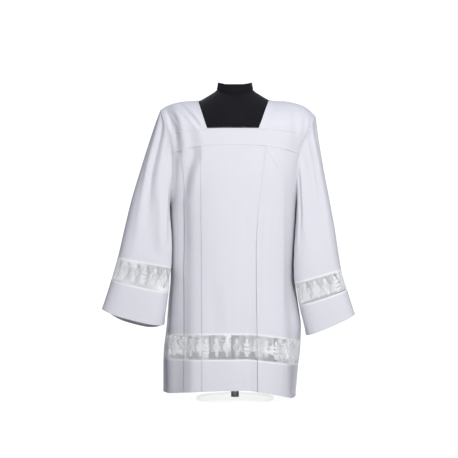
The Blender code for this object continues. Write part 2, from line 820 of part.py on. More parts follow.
def add_form_collar(material, collection):
    proud = SEAM_GAP + COLLAR_WALL / 2
    rows = [neck_ring_points(ring, proud, 0.001) for ring in NECK_RINGS]
    add_wall("form_collar", rows, True, True, material, collection, COLLAR_WALL)


def add_cylinder(name, radius, bottom, top, rounding, material, collection):
    bpy.ops.mesh.primitive_cylinder_add(vertices=48, radius=radius, depth=top - bottom)
    obj = bpy.context.object
    obj.name = name
    obj.location = (0, 0, (top + bottom) / 2)
    obj.data.materials.append(material)
    for holder in list(obj.users_collection):
        holder.objects.unlink(obj)
    collection.objects.link(obj)
    if rounding:
        bevel = obj.modifiers.new("Rounding", "BEVEL")
        bevel.width = rounding
        bevel.segments = 2
        bevel.limit_method = "ANGLE"
        bevel.angle_limit = math.radians(60)
    return obj


def add_stand(glass, steel, collection):
    foot_of_form = TORSO_RINGS[-1].height
    add_cylinder("form_base", BASE_RADIUS, 0.0, BASE_HEIGHT, BASE_ROUNDING, glass, collection)
    bottom, top = BASE_HEIGHT + SEAM_GAP, foot_of_form - SEAM_GAP
    add_cylinder("form_pole", POLE_RADIUS, bottom, top, 0.0, steel, collection)


def main():
    for obj in list(bpy.data.objects):
        bpy.data.objects.remove(obj, do_unlink=True)
    collection = bpy.data.collections.new("surplice_on_form")
    bpy.context.scene.collection.children.link(collection)
    materials = {
        "cloth": make_material("surplice_cloth", (0.80, 0.80, 0.87), 0.75, sheen=0.2),
        "lace": make_material("lace_net", (0.84, 0.84, 0.84), 0.85),
        "jersey": make_material("form_jersey", (0.025, 0.025, 0.035), 0.9),
        "glass": make_material("base_glass", (0.90, 0.95, 0.93), 0.05),
        "steel": make_material("pole_steel", (0.62, 0.62, 0.64), 0.30),
    }
    for face in (FRONT, BACK):
        add_body_pieces(face, materials, collection)
    for side in (LEFT, RIGHT):
        add_shoulder(side, materials["cloth"], collection)
        add_sleeve_pieces(side, materials, collection)
    add_form_torso(materials["jersey"], collection)
    add_form_collar(materials["jersey"], collection)
    add_stand(materials["glass"], materials["steel"], collection)


main()
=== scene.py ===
"""A pleated white surplice with lace insertions, worn by a black limbless dress form in a plain studio.

Metres, +Z up. The front faces -Y, and left and right are those of a viewer in front. Every cloth piece
is a thin closed shell round a fine grid of points on the garment's surface, and the lace is a net of threads
with solid borders and motifs. The creases are troughs and ridges given as tables of paths on
that surface; no cloth simulation is used.
"""

import math
from typing import NamedTuple

import bpy
import numpy as np
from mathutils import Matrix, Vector


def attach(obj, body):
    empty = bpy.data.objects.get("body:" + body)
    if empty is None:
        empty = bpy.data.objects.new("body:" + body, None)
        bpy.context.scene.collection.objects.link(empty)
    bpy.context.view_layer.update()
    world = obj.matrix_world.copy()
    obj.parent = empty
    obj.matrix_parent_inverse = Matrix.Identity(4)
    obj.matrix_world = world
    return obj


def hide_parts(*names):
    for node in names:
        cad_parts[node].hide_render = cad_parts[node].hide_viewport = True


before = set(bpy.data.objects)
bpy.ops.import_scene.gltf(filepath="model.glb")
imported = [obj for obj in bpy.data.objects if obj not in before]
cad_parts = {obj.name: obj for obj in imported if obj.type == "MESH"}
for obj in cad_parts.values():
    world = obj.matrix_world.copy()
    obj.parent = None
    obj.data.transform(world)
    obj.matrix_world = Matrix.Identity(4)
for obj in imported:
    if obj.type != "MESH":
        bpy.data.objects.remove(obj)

FRONT = -1
BACK = 1
LEFT = -1
RIGHT = 1
FACE_NAMES = {FRONT: "front", BACK: "back"}
SIDE_NAMES = {LEFT: "left", RIGHT: "right"}

CLOTH = 0.0006


def rows_of(kind, *rows):
    return tuple(kind(*row) for row in rows)


# ---- Garment tables, the same forms as the solids' ----

# Heights are above the floor, and x is from the form's axis.


class Section(NamedTuple):
    """A horizontal section through the garment's body, a superellipse of unlike halves."""

    height: float
    left: float
    right: float
    front: float
    back: float
    squareness: float


# The columns are height, left, right, front, back and squareness.
SECTIONS = rows_of(
    Section,
    (0.000, 0.232, 0.195, 0.152, 0.148, 2.5),
    (0.050, 0.232, 0.199, 0.151, 0.147, 2.5),
    (0.115, 0.232, 0.205, 0.149, 0.145, 2.5),
    (0.165, 0.230, 0.211, 0.147, 0.143, 2.5),
    (0.231, 0.222, 0.2135, 0.144, 0.140, 2.5),
    (0.318, 0.215, 0.2025, 0.141, 0.136, 2.5),
    (0.400, 0.208, 0.1925, 0.139, 0.133, 2.5),
    (0.500, 0.2075, 0.1945, 0.137, 0.130, 2.5),
    (0.600, 0.2085, 0.1975, 0.136, 0.128, 2.6),
    (0.700, 0.213, 0.204, 0.135, 0.127, 2.8),
    (0.800, 0.224, 0.228, 0.131, 0.124, 3.0),
    (0.870, 0.234, 0.258, 0.124, 0.117, 3.3),
    (0.920, 0.238, 0.262, 0.112, 0.107, 3.4),
)


class Ridge(NamedTuple):
    """A point of the shoulder line, from the foot of the neck out to the drop of the sleeve."""

    out: float
    height: float


# The columns are out and height.
RIDGE = rows_of(
    Ridge,
    (0.057, 1.0070),
    (0.066, 0.9990),
    (0.078, 0.9915),
    (0.095, 0.9810),
    (0.112, 0.9715),
    (0.125, 0.9685),
    (0.160, 0.9670),
    (0.190, 0.9620),
    (0.210, 0.9560),
    (0.228, 0.9480),
    (0.241, 0.9380),
    (0.250, 0.9300),
    (0.262, 0.9170),
)
ARCH_POWER = 1.7


class Line(NamedTuple):
    """The height of a seam or edge at the centre of a face and at its two sides."""

    centre: float
    left: float
    right: float
    power: float


SEAMS = {
    FRONT: {
        "band_top": Line(centre=0.8690, left=0.8520, right=0.8520, power=2.8),
        "band_bottom": Line(centre=0.8196, left=0.7930, right=0.7910, power=2.8),
        "underarm": Line(centre=0.6350, left=0.6250, right=0.6250, power=2.0),
        "lace_top": Line(centre=0.2260, left=0.2170, right=0.1980, power=2.0),
        "lace_bottom": Line(centre=0.1380, left=0.1310, right=0.1110, power=2.0),
        "hem": Line(centre=0.0460, left=0.0250, right=0.0090, power=2.0),
    },
    BACK: {
        "band_top": Line(centre=0.9120, left=0.8900, right=0.8880, power=2.8),
        "band_bottom": Line(centre=0.8620, left=0.8320, right=0.8300, power=2.8),
        "underarm": Line(centre=0.6350, left=0.6250, right=0.6250, power=2.0),
        "lace_top": Line(centre=0.2220, left=0.2170, right=0.1980, power=2.0),
        "lace_bottom": Line(centre=0.1340, left=0.1310, right=0.1110, power=2.0),
        "hem": Line(centre=0.0420, left=0.0250, right=0.0090, power=2.0),
    },
}

ARMHOLE_REACH = 0.084
ARMHOLE_CENTRE = {FRONT: 0.840, BACK: 0.860}


class Neck(NamedTuple):
    """The square neck's edge on one side: its x at the yoke band and at the shoulder line."""

    at_band: float
    at_ridge: float
    armhole_at_ridge: float


NECK = {
    LEFT: Neck(at_band=0.087, at_ridge=0.120, armhole_at_ridge=0.241),
    RIGHT: Neck(at_band=0.0725, at_ridge=0.1105, armhole_at_ridge=0.260),
}


class Pleat(NamedTuple):
    """A knife pleat, each value at the yoke, half way and at the hem.

    x is the place of its fold, lap the width tucked under, deep how far behind the fold the panel comes
    out from under it, layer the spacing of its layers, and lift how far the fold stands off.
    """

    faces: int
    x: tuple
    lap: tuple
    deep: tuple
    layer: tuple
    lift: tuple


PLEAT_TOP = 0.820
PLEAT_MIDDLE = 0.480
PLEAT_HEM = 0.046
PLEATS = {
    FRONT: (
        Pleat(
            LEFT, (-0.1705, -0.166, -0.170), lap=(0.012, 0.006, 0.010),
            deep=(0.0019, 0.006, 0.0019), layer=(0.0009, 0.0018, 0.0009), lift=(0.0, 0.0004, 0.0004),
        ),
        Pleat(
            LEFT, (-0.1095, -0.106, -0.1035), lap=(0.020, 0.020, 0.020),
            deep=(0.0019, 0.0024, 0.0024), layer=(0.0009, 0.0012, 0.0012), lift=(0.0, 0.0004, 0.0006),
        ),
        Pleat(
            LEFT, (0.097, 0.068, 0.072), lap=(0.012, 0.012, 0.016),
            deep=(0.0014, 0.0030, 0.0040), layer=(0.0007, 0.0009, 0.0018), lift=(0.0, 0.0, 0.0008),
        ),
        Pleat(
            RIGHT, (0.1575, 0.1535, 0.1500), lap=(0.020, 0.020, 0.020),
            deep=(0.0019, 0.0045, 0.0050), layer=(0.0009, 0.0018, 0.0022), lift=(0.0003, 0.0018, 0.0020),
        ),
    ),
    BACK: (
        Pleat(
            LEFT, (-0.168, -0.160, -0.158), lap=(0.016, 0.012, 0.014),
            deep=(0.0019, 0.008, 0.014), layer=(0.0009, 0.0016, 0.0022), lift=(0.0, 0.0006, 0.0014),
        ),
        Pleat(
            LEFT, (-0.106, -0.100, -0.103), lap=(0.020, 0.018, 0.020),
            deep=(0.0019, 0.007, 0.011), layer=(0.0009, 0.0014, 0.0018), lift=(0.0, 0.0006, 0.0016),
        ),
        Pleat(
            RIGHT, (0.098, 0.090, 0.085), lap=(0.020, 0.018, 0.018),
            deep=(0.0019, 0.008, 0.012), layer=(0.0009, 0.0014, 0.0018), lift=(0.0, 0.0004, 0.0012),
        ),
        Pleat(
            RIGHT, (0.158, 0.148, 0.144), lap=(0.016, 0.012, 0.014),
            deep=(0.0019, 0.010, 0.016), layer=(0.0009, 0.0018, 0.0022), lift=(0.0, 0.0006, 0.0014),
        ),
    ),
}
EMERGE_SPREAD = 0.029


class Dip(NamedTuple):
    """A soft hollow down the skirt: its x at the yoke and at the hem, where it starts, and its depth."""

    x_top: float
    x_hem: float
    start: float
    spread: float
    depth: float


DIPS = {
    FRONT: (Dip(x_top=-0.194, x_hem=-0.200, start=0.440, spread=0.036, depth=0.020),),
    BACK: (Dip(x_top=-0.062, x_hem=-0.050, start=0.520, spread=0.026, depth=0.005),),
}
LIFT_REACH = 0.020
MIDDLE_LIFT = 0.85


class Loop(NamedTuple):
    """A loop round a sleeve: its outer and inner points as seen from the front, and its half depth."""

    out_x: float
    out_z: float
    in_x: float
    in_z: float
    mid_y: float
    reach: float
    rounding: float


# The columns are out_x, out_z, in_x, in_z, mid_y, reach and rounding.
SLEEVE_LOOPS = {
    LEFT: rows_of(
        Loop,
        (0.254, 0.925, 0.206, 0.6, 0.0, 0.083, 0.35),
        (0.265, 0.888, 0.203, 0.565, -0.002, 0.081, 0.7),
        (0.284, 0.812, 0.200, 0.525, -0.004, 0.080, 1.0),
        (0.31, 0.728, 0.1955, 0.49, -0.006, 0.078, 1.0),
        (0.334, 0.647, 0.1945, 0.462, -0.009, 0.076, 1.0),
        (0.356, 0.556, 0.1945, 0.446, -0.011, 0.073, 1.0),
        (0.377, 0.465, 0.197, 0.43, -0.013, 0.071, 1.0),
        (0.3995, 0.387, 0.2125, 0.3445, -0.015, 0.067, 1.0),
        (0.4285, 0.296, 0.2295, 0.244, -0.018, 0.062, 1.0),
    ),
    RIGHT: rows_of(
        Loop,
        (0.2675, 0.902, 0.195, 0.6, 0.0, 0.083, 0.35),
        (0.2705, 0.862, 0.191, 0.562, -0.002, 0.081, 0.7),
        (0.2765, 0.8, 0.1875, 0.522, -0.004, 0.080, 1.0),
        (0.2895, 0.725, 0.183, 0.487, -0.006, 0.078, 1.0),
        (0.305, 0.645, 0.181, 0.457, -0.009, 0.075, 1.0),
        (0.322, 0.55, 0.180, 0.425, -0.013, 0.071, 1.0),
        (0.3415, 0.426, 0.184, 0.38, -0.015, 0.067, 1.0),
        (0.3625, 0.354, 0.207, 0.302, -0.017, 0.062, 1.0),
        (0.3855, 0.279, 0.2305, 0.211, -0.02, 0.056, 1.0),
    ),
}
TUBE_ROWS = (0, 7)
SLEEVE_LACE_ROWS = (7, 8)
CUFF_ROWS = (8, 9)
ARMHOLE_SHIFT_TOP = 0.0006
ARMHOLE_SHIFT_UNDERARM = 0.0022
INNER_SQUARENESS = 3.0
SLEEVE_OFF = 0.0056
HANGS_BELOW = (0.640, 0.600)


class Sag(NamedTuple):
    """How far a loop's front and back hang below the straight line between its outer and inner points."""

    front: float
    back: float


CUFF_SAG = {LEFT: Sag(front=0.008, back=0.030), RIGHT: Sag(front=0.004, back=0.004)}


class Trough(NamedTuple):
    """A long soft fold down a sleeve: its angle round the loop, where it starts and ends, and its depth."""

    angle: float
    spread: float
    first_loop: float
    last_loop: float
    depth: float


TROUGHS = {
    LEFT: (
        Trough(angle=38.0, spread=16.0, first_loop=0.5, last_loop=5.5, depth=0.002),
        Trough(angle=-50.0, spread=20.0, first_loop=0.5, last_loop=6.0, depth=0.008),
    ),
    RIGHT: (
        Trough(angle=70.0, spread=18.0, first_loop=0.5, last_loop=6.0, depth=0.007),
        Trough(angle=-45.0, spread=20.0, first_loop=0.5, last_loop=5.5, depth=0.008),
    ),
}


# ---- Interpolation ----


def smooth_value(places, values, at):
    """The values at places on the smooth curve through rising places, with no overshoot between them."""
    places, values = np.asarray(places, float), np.asarray(values, float)
    at = np.clip(at, places[0], places[-1])
    steps = np.diff(values) / np.diff(places)
    before, after = steps[:-1], steps[1:]
    alike = before * after > 0
    inner = np.where(alike, 2 * before * after / np.where(alike, before + after, 1.0), 0.0)
    slopes = np.concatenate([steps[:1], inner, steps[-1:]])
    i = np.clip(np.searchsorted(places, at) - 1, 0, len(steps) - 1)
    span = places[i + 1] - places[i]
    t = (at - places[i]) / span
    return (
        values[i] * (2 * t**3 - 3 * t**2 + 1)
        + values[i + 1] * (3 * t**2 - 2 * t**3)
        + span * slopes[i] * (t**3 - 2 * t**2 + t)
        + span * slopes[i + 1] * (t**3 - t**2)
    )


def blend(start, end, share):
    return start + (end - start) * share


def drops(count, first=True):
    """Even shares of the way down, from 0 or from the step after it, to 1."""
    return np.arange(0 if first else 1, count + 1) / count


def rim(share, power):
    """How far out a superellipse stands at a share of its half width, as a share of its full depth."""
    return (1 - share**power) ** (1 / power)


def lengths_along(points):
    return np.concatenate([[0.0], np.cumsum(np.linalg.norm(np.diff(points, axis=0), axis=1))])


def path_shares(points):
    lengths = lengths_along(points)
    return lengths / lengths[-1]


def interpolated(at, places, points):
    return np.stack([np.interp(at, places, points[:, axis]) for axis in range(3)], -1)


def section_value(column, height):
    return smooth_value([row.height for row in SECTIONS], [getattr(row, column) for row in SECTIONS], height)


def ridge_height(out):
    return smooth_value([row.out for row in RIDGE], [row.height for row in RIDGE], np.abs(out))


# ---- Creases: soft troughs and ridges along paths on the cloth ----


class Crease(NamedTuple):
    """A fold that runs from start past bend to end; a depth above 0 is a trough, and below 0 a ridge.

    A low power makes it a pressed line, and 2 a soft hollow. Shoulders are the ridges beside a trough,
    as a share of its depth. An open fold is deepest at its end, and others fade out at both ends. With
    a panel, it marks only that panel between two pleats.
    """

    start: tuple
    bend: tuple
    end: tuple
    width: float
    depth: float
    power: float = 2.0
    shoulders: float = 0.25
    panel: int = -1
    open: bool = False


CREASE_STEPS = 14
TAPER_POWER = 0.9
SHOULDER_OUT = 1.9
SHOULDER_SPREAD = 0.7


def crease_path(crease):
    t = np.linspace(0, 1, CREASE_STEPS + 1)[:, None]
    start, bend, end = (np.array(point, float) for point in (crease.start, crease.bend, crease.end))
    return (1 - t) ** 2 * start + 2 * t * (1 - t) * bend + t**2 * end


def crease_depth(crease, places, scale):
    """How far one crease presses the cloth in at places (n, 2); scale turns its units into metres."""
    path = crease_path(crease) * scale
    places = places * scale
    nearest = np.full(len(places), np.inf)
    along = np.zeros(len(places))
    for n, (start, end) in enumerate(zip(path, path[1:])):
        step = end - start
        share = np.clip((places - start) @ step / (step @ step), 0, 1)
        far = np.linalg.norm(places - start - share[:, None] * step, axis=1)
        closer = far < nearest
        nearest = np.where(closer, far, nearest)
        along = np.where(closer, (n + share) / CREASE_STEPS, along)
    taper = np.sin(np.pi * along * (0.5 if crease.open else 1.0)) ** TAPER_POWER
    off = nearest / crease.width
    beside = crease.shoulders * np.exp(-(((off - SHOULDER_OUT) / SHOULDER_SPREAD) ** 2))
    return crease.depth * taper * (np.exp(-(off**crease.power)) - beside)


def pressed_in(creases, places, scale=(1.0, 1.0), panels=None):
    """The sum of all creases at a grid of places (rows, cols, 2)."""
    flat = places.reshape(-1, 2)
    total = np.zeros(len(flat))
    for crease in creases:
        depth = crease_depth(crease, flat, np.array(scale))
        if crease.panel >= 0:
            depth = depth * (0 if panels is None else panels.reshape(-1) == crease.panel)
        total += depth
    return total.reshape(places.shape[:-1])


# ---- The garment's body surface ----


def half_width(x, height):
    return np.where(np.asarray(x) > 0, section_value("right", height), section_value("left", height))


def depth_at(face, x, height):
    """How far the body's surface stands from the plane of the shoulders at x."""
    power = section_value("squareness", height)
    share = np.minimum(1.0, np.abs(x) / half_width(x, height))
    return section_value(FACE_NAMES[face], height) * rim(share, power)


def body_points(face, x, height, inwards):
    """Points of the body's surface, moved inwards along the section's normal."""
    width = half_width(x, height)
    full = section_value(FACE_NAMES[face], height)
    power = section_value("squareness", height)
    depth = depth_at(face, x, height)
    slope_x = np.sign(x) * (np.abs(x) / width) ** (power - 1) / width
    slope_y = (depth / full) ** (power - 1) / full
    length = np.hypot(slope_x, slope_y)
    x, depth = x - inwards * slope_x / length, depth - inwards * slope_y / length
    return np.stack([x, face * depth, height], -1)


def seam_height(line, share):
    """The height of a seam at shares of the way from the centre to the left (-1) or right (+1) side."""
    share = np.asarray(share, float)
    end = np.where(share < 0, line.left, line.right)
    return blend(line.centre, end, np.abs(share) ** line.power)


def armhole_depth(face, height):
    """How far in front of or behind the shoulder plane the armhole's edge runs, below the shoulder."""
    centre = ARMHOLE_CENTRE[face]
    fall = np.maximum(0.0, (centre - height) / (centre - SEAMS[face]["underarm"].left))
    return ARMHOLE_REACH * np.sqrt(np.maximum(0.0, 1 - fall**2))


def side_end(face, side, height):
    """The x where a face ends at one side: at the armhole's edge, or below it at the side seam."""
    width = half_width(side, height)
    depth = armhole_depth(face, height)
    power = section_value("squareness", height)
    return side * width * rim(depth / section_value(FACE_NAMES[face], height), power)


def row_height(face, upper, lower, drop, share):
    return blend(seam_height(SEAMS[face][upper], share), seam_height(SEAMS[face][lower], share), drop)


def pleat_value(values, height):
    return float(smooth_value((PLEAT_HEM, PLEAT_MIDDLE, PLEAT_TOP), values[::-1], height))


def emerging(pleat, height, x):
    """How deep the panel beside a pleat lies at x, where it comes out from under the fold."""
    beyond = x - pleat_value(pleat.x, height)
    return pleat_value(pleat.deep, height) * np.exp(-((beyond / EMERGE_SPREAD) ** 2))


def dip_depth(face, x, height):
    depth = np.zeros(np.shape(x))
    for dip in DIPS[face]:
        down = np.maximum(0.0, (dip.start - height) / (dip.start - SEAMS[face]["hem"].centre))
        off = (x - blend(dip.x_top, dip.x_hem, down)) / dip.spread
        depth += dip.depth * np.sin(np.pi / 2 * np.minimum(1.0, down)) * np.exp(-(off**2))
    return depth


class Stations(NamedTuple):
    """The columns of one row: x, how deep each lies, and the panel between pleats that it belongs to."""

    x: np.ndarray
    inwards: np.ndarray
    panel: np.ndarray


OUTER_STEPS = 7
TURN_STEPS = 5
UNDER_STEPS = 4
PANEL_STEPS = (24, 12, 30, 12, 24)
BAND_STEPS = 90
EDGE_REACH = 0.022


def pleat_stations(pleat, height, before):
    """One pleat's three layers with their round turns, in the order of rising x."""
    fold = pleat_value(pleat.x, height)
    tucked = fold - pleat.faces * pleat_value(pleat.lap, height)
    lift = pleat_value(pleat.lift, height)
    layer, deep = pleat_value(pleat.layer, height), pleat_value(pleat.deep, height)
    radius = layer / 2
    turn = np.pi * (np.arange(TURN_STEPS) + 1) / (TURN_STEPS + 1)
    round_out = radius * np.sin(turn) * pleat.faces
    round_in = radius * (1 - np.cos(turn))
    under = np.linspace(0, 1, UNDER_STEPS + 1)
    outer = np.linspace(tucked, fold, OUTER_STEPS + 1)
    middle = blend(fold, tucked, under)
    inner = blend(tucked, fold, under)
    x = np.concatenate([outer, fold + round_out, middle, tucked - round_out, inner])
    inwards = np.concatenate(
        [
            np.zeros(len(outer)),
            round_in,
            np.full(len(middle), layer),
            layer + round_in,
            blend(2 * layer, max(deep, 2 * layer), under**2),
        ]
    )
    lifts = np.concatenate(
        [
            lift * np.exp(-np.abs(fold - outer) / LIFT_REACH),
            lift * blend(1.0, MIDDLE_LIFT, turn / np.pi),
            lift * MIDDLE_LIFT * (1 - under) ** 2,
            np.zeros(TURN_STEPS + len(inner)),
        ]
    )
    outer_count = len(outer) + TURN_STEPS
    panels = np.full(len(x), before if pleat.faces == RIGHT else before + 1)
    panels[outer_count:] = before + 1 if pleat.faces == RIGHT else before
    order = slice(None) if pleat.faces == RIGHT else slice(None, None, -1)
    return Stations(x[order], (inwards - lifts)[order], panels[order])


def panel_stations(start, end, steps, height, panel):
    """Columns between x start and end, spaced by angle so that they crowd where the side turns."""
    width_left, width_right = half_width(LEFT, height), half_width(RIGHT, height)
    shares = (x / (width_right if x > 0 else width_left) for x in (start, end))
    angles = [math.asin(max(-1.0, min(1.0, share))) for share in shares]
    turn = blend(angles[0], angles[1], np.arange(1, steps) / steps)
    x = np.sin(turn) * np.where(turn > 0, width_right, width_left)
    return Stations(x, np.zeros(steps - 1), np.full(steps - 1, panel))


def row_stations(face, height, left_end, right_end, pleated):
    pleats = PLEATS[face] if pleated else ()
    groups = [Stations(np.array([left_end]), np.zeros(1), np.zeros(1))]
    groups += [pleat_stations(pleat, height, n) for n, pleat in enumerate(pleats)]
    groups.append(Stations(np.array([right_end]), np.zeros(1), np.full(1, len(pleats))))
    steps = PANEL_STEPS if pleated else (BAND_STEPS,)
    row = [groups[0]]
    for panel, (count, group) in enumerate(zip(steps, groups[1:])):
        flat = panel_stations(row[-1].x[-1], group.x[0], count, height, panel)
        inwards = flat.inwards
        if panel > 0 and pleats[panel - 1].faces == RIGHT:
            inwards = inwards + emerging(pleats[panel - 1], height, flat.x)
        if panel < len(pleats) and pleats[panel].faces == LEFT:
            inwards = inwards + emerging(pleats[panel], height, flat.x)
        row += [flat._replace(inwards=inwards), group]
    return Stations(*(np.concatenate(values) for values in zip(*row)))


def edge_fade(points):
    """0 at both ends of each row of a grid and 1 away from them, so that pieces meet along their seams."""
    steps = np.linalg.norm(np.diff(points, axis=1), axis=2)
    along = np.concatenate([np.zeros((len(points), 1)), np.cumsum(steps, axis=1)], axis=1)
    nearest = np.minimum(along, along[:, -1:] - along)
    share = np.clip(nearest / EDGE_REACH, 0, 1)
    return share**2 * (3 - 2 * share)


def body_grid(face, stretches, pleated):
    """The grid of a body piece, from stretches (upper seam, lower seam, drops within it)."""
    rows = []
    for upper, lower, shares in stretches:
        for drop in shares:
            ends = [float(side_end(face, s, row_height(face, upper, lower, drop, s))) for s in (LEFT, RIGHT)]
            middle = float(row_height(face, upper, lower, drop, 0))
            stations = row_stations(face, middle, *ends, pleated)
            share = np.clip(stations.x / np.where(stations.x > 0, ends[1], -ends[0]), -1, 1)
            rows.append((*stations, row_height(face, upper, lower, drop, share)))
    x, inwards, panels, height = (np.array(column) for column in zip(*rows))
    fade = edge_fade(body_points(face, x, height, 0.0))
    soft = dip_depth(face, x, height)
    soft += pressed_in(CREASES[face], np.stack([x, height], -1), panels=panels if pleated else None)
    return body_points(face, x, height, inwards + soft * fade)


# ---- The shoulders ----

ARCH_STEPS = 30
RIDGE_FADE = 0.030
SHOULDER_STEPS = 46


def shoulder_column(face, side, share):
    """The arch points of one column of a shoulder piece; share is 0 at the neck and 1 at the armhole."""
    line = SEAMS[face]["band_top"]
    end_height = seam_height(line, side)
    at_armhole = side_end(face, side, end_height)
    at_band = blend(side * NECK[side].at_band, at_armhole, share)
    at_ridge = side * blend(NECK[side].at_ridge, NECK[side].armhole_at_ridge, share)
    height = seam_height(line, at_band / abs(at_armhole))
    depth = depth_at(face, at_band, height)
    turn = np.linspace(0, np.pi / 2, ARCH_STEPS + 1)
    across = np.maximum(0.0, np.cos(turn)) ** (2 / ARCH_POWER)
    up = np.sin(turn) ** (2 / ARCH_POWER)
    x = blend(at_band, at_ridge, np.sin(turn))
    return np.stack([x, face * depth * across, blend(height, ridge_height(x), up)], -1)


def shoulder_grid(side):
    """Rows from the front band over the shoulder line to the back band."""
    columns = []
    for share in np.linspace(0, 1, SHOULDER_STEPS + 1):
        front = shoulder_column(FRONT, side, share)
        back = shoulder_column(BACK, side, share)
        columns.append(np.concatenate([front, back[-2::-1]]))
    return np.stack(columns, 1)


# ---- The sleeves ----

TURNS = 150
ARMHOLE_SAMPLES = 60
OUTER_SQUARENESS = 3.2


def armhole_side(face, side):
    """The armhole's edge on one face, from the top of the shoulder to the underarm."""
    parts = [shoulder_column(face, side, 1.0)[::-1]]
    for upper, lower in (("band_top", "band_bottom"), ("band_bottom", "underarm")):
        height = row_height(face, upper, lower, drops(ARMHOLE_SAMPLES, False), side)
        parts.append(body_points(face, side_end(face, side, height), height, 0.0))
    return np.concatenate(parts)


def sleeve_turns():
    """Angles round a sleeve: 0 on top, 90 in front, 180 at the underarm and -90 at the back."""
    turns = 360 * np.arange(TURNS) / TURNS
    return np.where(turns > 180, turns - 360, turns)


def armhole_loop(side):
    turns = sleeve_turns()
    loop = np.zeros((TURNS, 3))
    for face in (FRONT, BACK):
        edge = armhole_side(face, side)
        shares = path_shares(edge)
        here = turns >= 0 if face == FRONT else turns < 0
        at = np.abs(turns[here]) / 180
        points = interpolated(at, shares, edge)
        points[:, 0] += side * blend(ARMHOLE_SHIFT_TOP, ARMHOLE_SHIFT_UNDERARM, at**2)
        loop[here] = points
    return loop


def trough_depth(side, turns, row):
    depth = np.zeros(len(turns))
    for trough in TROUGHS[side]:
        if trough.first_loop < row < trough.last_loop:
            along = (row - trough.first_loop) / (trough.last_loop - trough.first_loop)
            off = (turns - trough.angle) / trough.spread
            depth += trough.depth * np.sin(np.pi * along) * np.exp(-(off**2))
    return depth


def hung_beside(side, points):
    """The points moved out, where they would touch the body, to hang just beside the body's side."""
    x, y, height = points.T
    share = np.clip((HANGS_BELOW[0] - height) / (HANGS_BELOW[0] - HANGS_BELOW[1]), 0, 1)
    power = section_value("squareness", height)
    full = np.where(y < 0, section_value("front", height), section_value("back", height))
    reach = half_width(side, height) * rim(np.minimum(1, np.abs(y) / full), power)
    out = np.maximum(side * x, reach + SLEEVE_OFF)
    return np.stack([blend(x, side * out, share), y, height], -1)


def sleeve_loop(side, row, armhole):
    """The points of one of the sleeve's loops; row 0 is the armhole and row 9 is the cuff."""
    if row == 0:
        return armhole
    loop = SLEEVE_LOOPS[side][row - 1]
    turns = sleeve_turns()
    share = max(0, row - SLEEVE_LACE_ROWS[0]) / (CUFF_ROWS[1] - SLEEVE_LACE_ROWS[0])
    angle = np.radians(turns)[:, None]
    outer = np.array([side * loop.out_x, loop.mid_y, loop.out_z])
    inner = np.array([side * loop.in_x, loop.mid_y, loop.in_z])
    centre = (outer + inner) / 2
    across, front = np.cos(angle), np.sin(angle)
    outer_half = across > 0
    power = 2 / np.where(outer_half, OUTER_SQUARENESS, INNER_SQUARENESS)
    across, front = (np.sign(part) * np.abs(part) ** power for part in (across, front))
    offset = (outer - inner) / 2 * across + np.array([0, -loop.reach, 0]) * front
    deep = trough_depth(side, turns, row)[:, None]
    offset -= offset / np.linalg.norm(offset, axis=1, keepdims=True) * deep
    hang = np.where(turns > 0, CUFF_SAG[side].front, CUFF_SAG[side].back)[:, None] * share
    place = centre + offset - np.array([0, 0, 1]) * hang * np.sin(angle) ** 2
    start = (armhole[0] + armhole[TURNS // 2]) / 2
    return hung_beside(side, blend(armhole - start + centre, place, loop.rounding))


def sleeve_surface(side, rows):
    """The loops at rows, any numbers from 0 to 9, on the smooth surface through the sleeve's ten loops."""
    armhole = armhole_loop(side)
    loops = np.array([sleeve_loop(side, row, armhole) for row in range(CUFF_ROWS[1] + 1)])
    before = np.concatenate([2 * loops[:1] - loops[1:2], loops, 2 * loops[-1:] - loops[-2:-1]])
    surface = []
    for row in rows:
        i = min(int(row), CUFF_ROWS[1] - 1)
        t = row - i
        a, b, c, d = before[i : i + 4]
        curve = (2 * a - 5 * b + 4 * c - d) * t**2
        surface.append(0.5 * (2 * b + (c - a) * t + curve + (3 * b - a - 3 * c + d) * t**3))
    return np.array(surface)


# ---- Mesh making ----


def grid_normals(points, closed):
    """Unit normals of a grid of points, on the side that its quads face."""
    down = np.gradient(points, axis=0)
    if closed:
        across = (np.roll(points, -1, axis=1) - np.roll(points, 1, axis=1)) / 2
    else:
        across = np.gradient(points, axis=1)
    normals = np.cross(down, across)
    return normals / np.maximum(np.linalg.norm(normals, axis=-1, keepdims=True), 1e-12)


def facing_out(points, closed):
    """The grid with its columns in the order that makes its quads face away from its middle."""
    middle = points.reshape(-1, 3).mean(0)
    outwards = (grid_normals(points, closed) * (points - middle)).sum()
    return points if outwards > 0 else points[:, ::-1]


def sleeve_outwards(grid):
    normals = grid_normals(grid, True)
    middle = grid.mean(1, keepdims=True)
    return normals * np.sign((normals * (grid - middle)).sum(-1).mean())


def add_object(name, data):
    obj = bpy.data.objects.new(name, data)
    bpy.context.scene.collection.objects.link(obj)
    return obj


def add_mesh(name, vertices, faces, uvs, material, smooth_angle=50):
    mesh = bpy.data.meshes.new(name)
    mesh.from_pydata(vertices.tolist(), [], faces.tolist() if hasattr(faces, "tolist") else faces)
    if uvs is not None:
        layer = mesh.uv_layers.new(name="cloth")
        layer.data.foreach_set("uv", np.asarray(uvs, np.float32).ravel())
    mesh.materials.append(material)
    mesh.polygons.foreach_set("use_smooth", np.ones(len(mesh.polygons), bool))
    mesh.set_sharp_from_angle(angle=math.radians(smooth_angle))
    mesh.validate()
    return add_object(name, mesh)


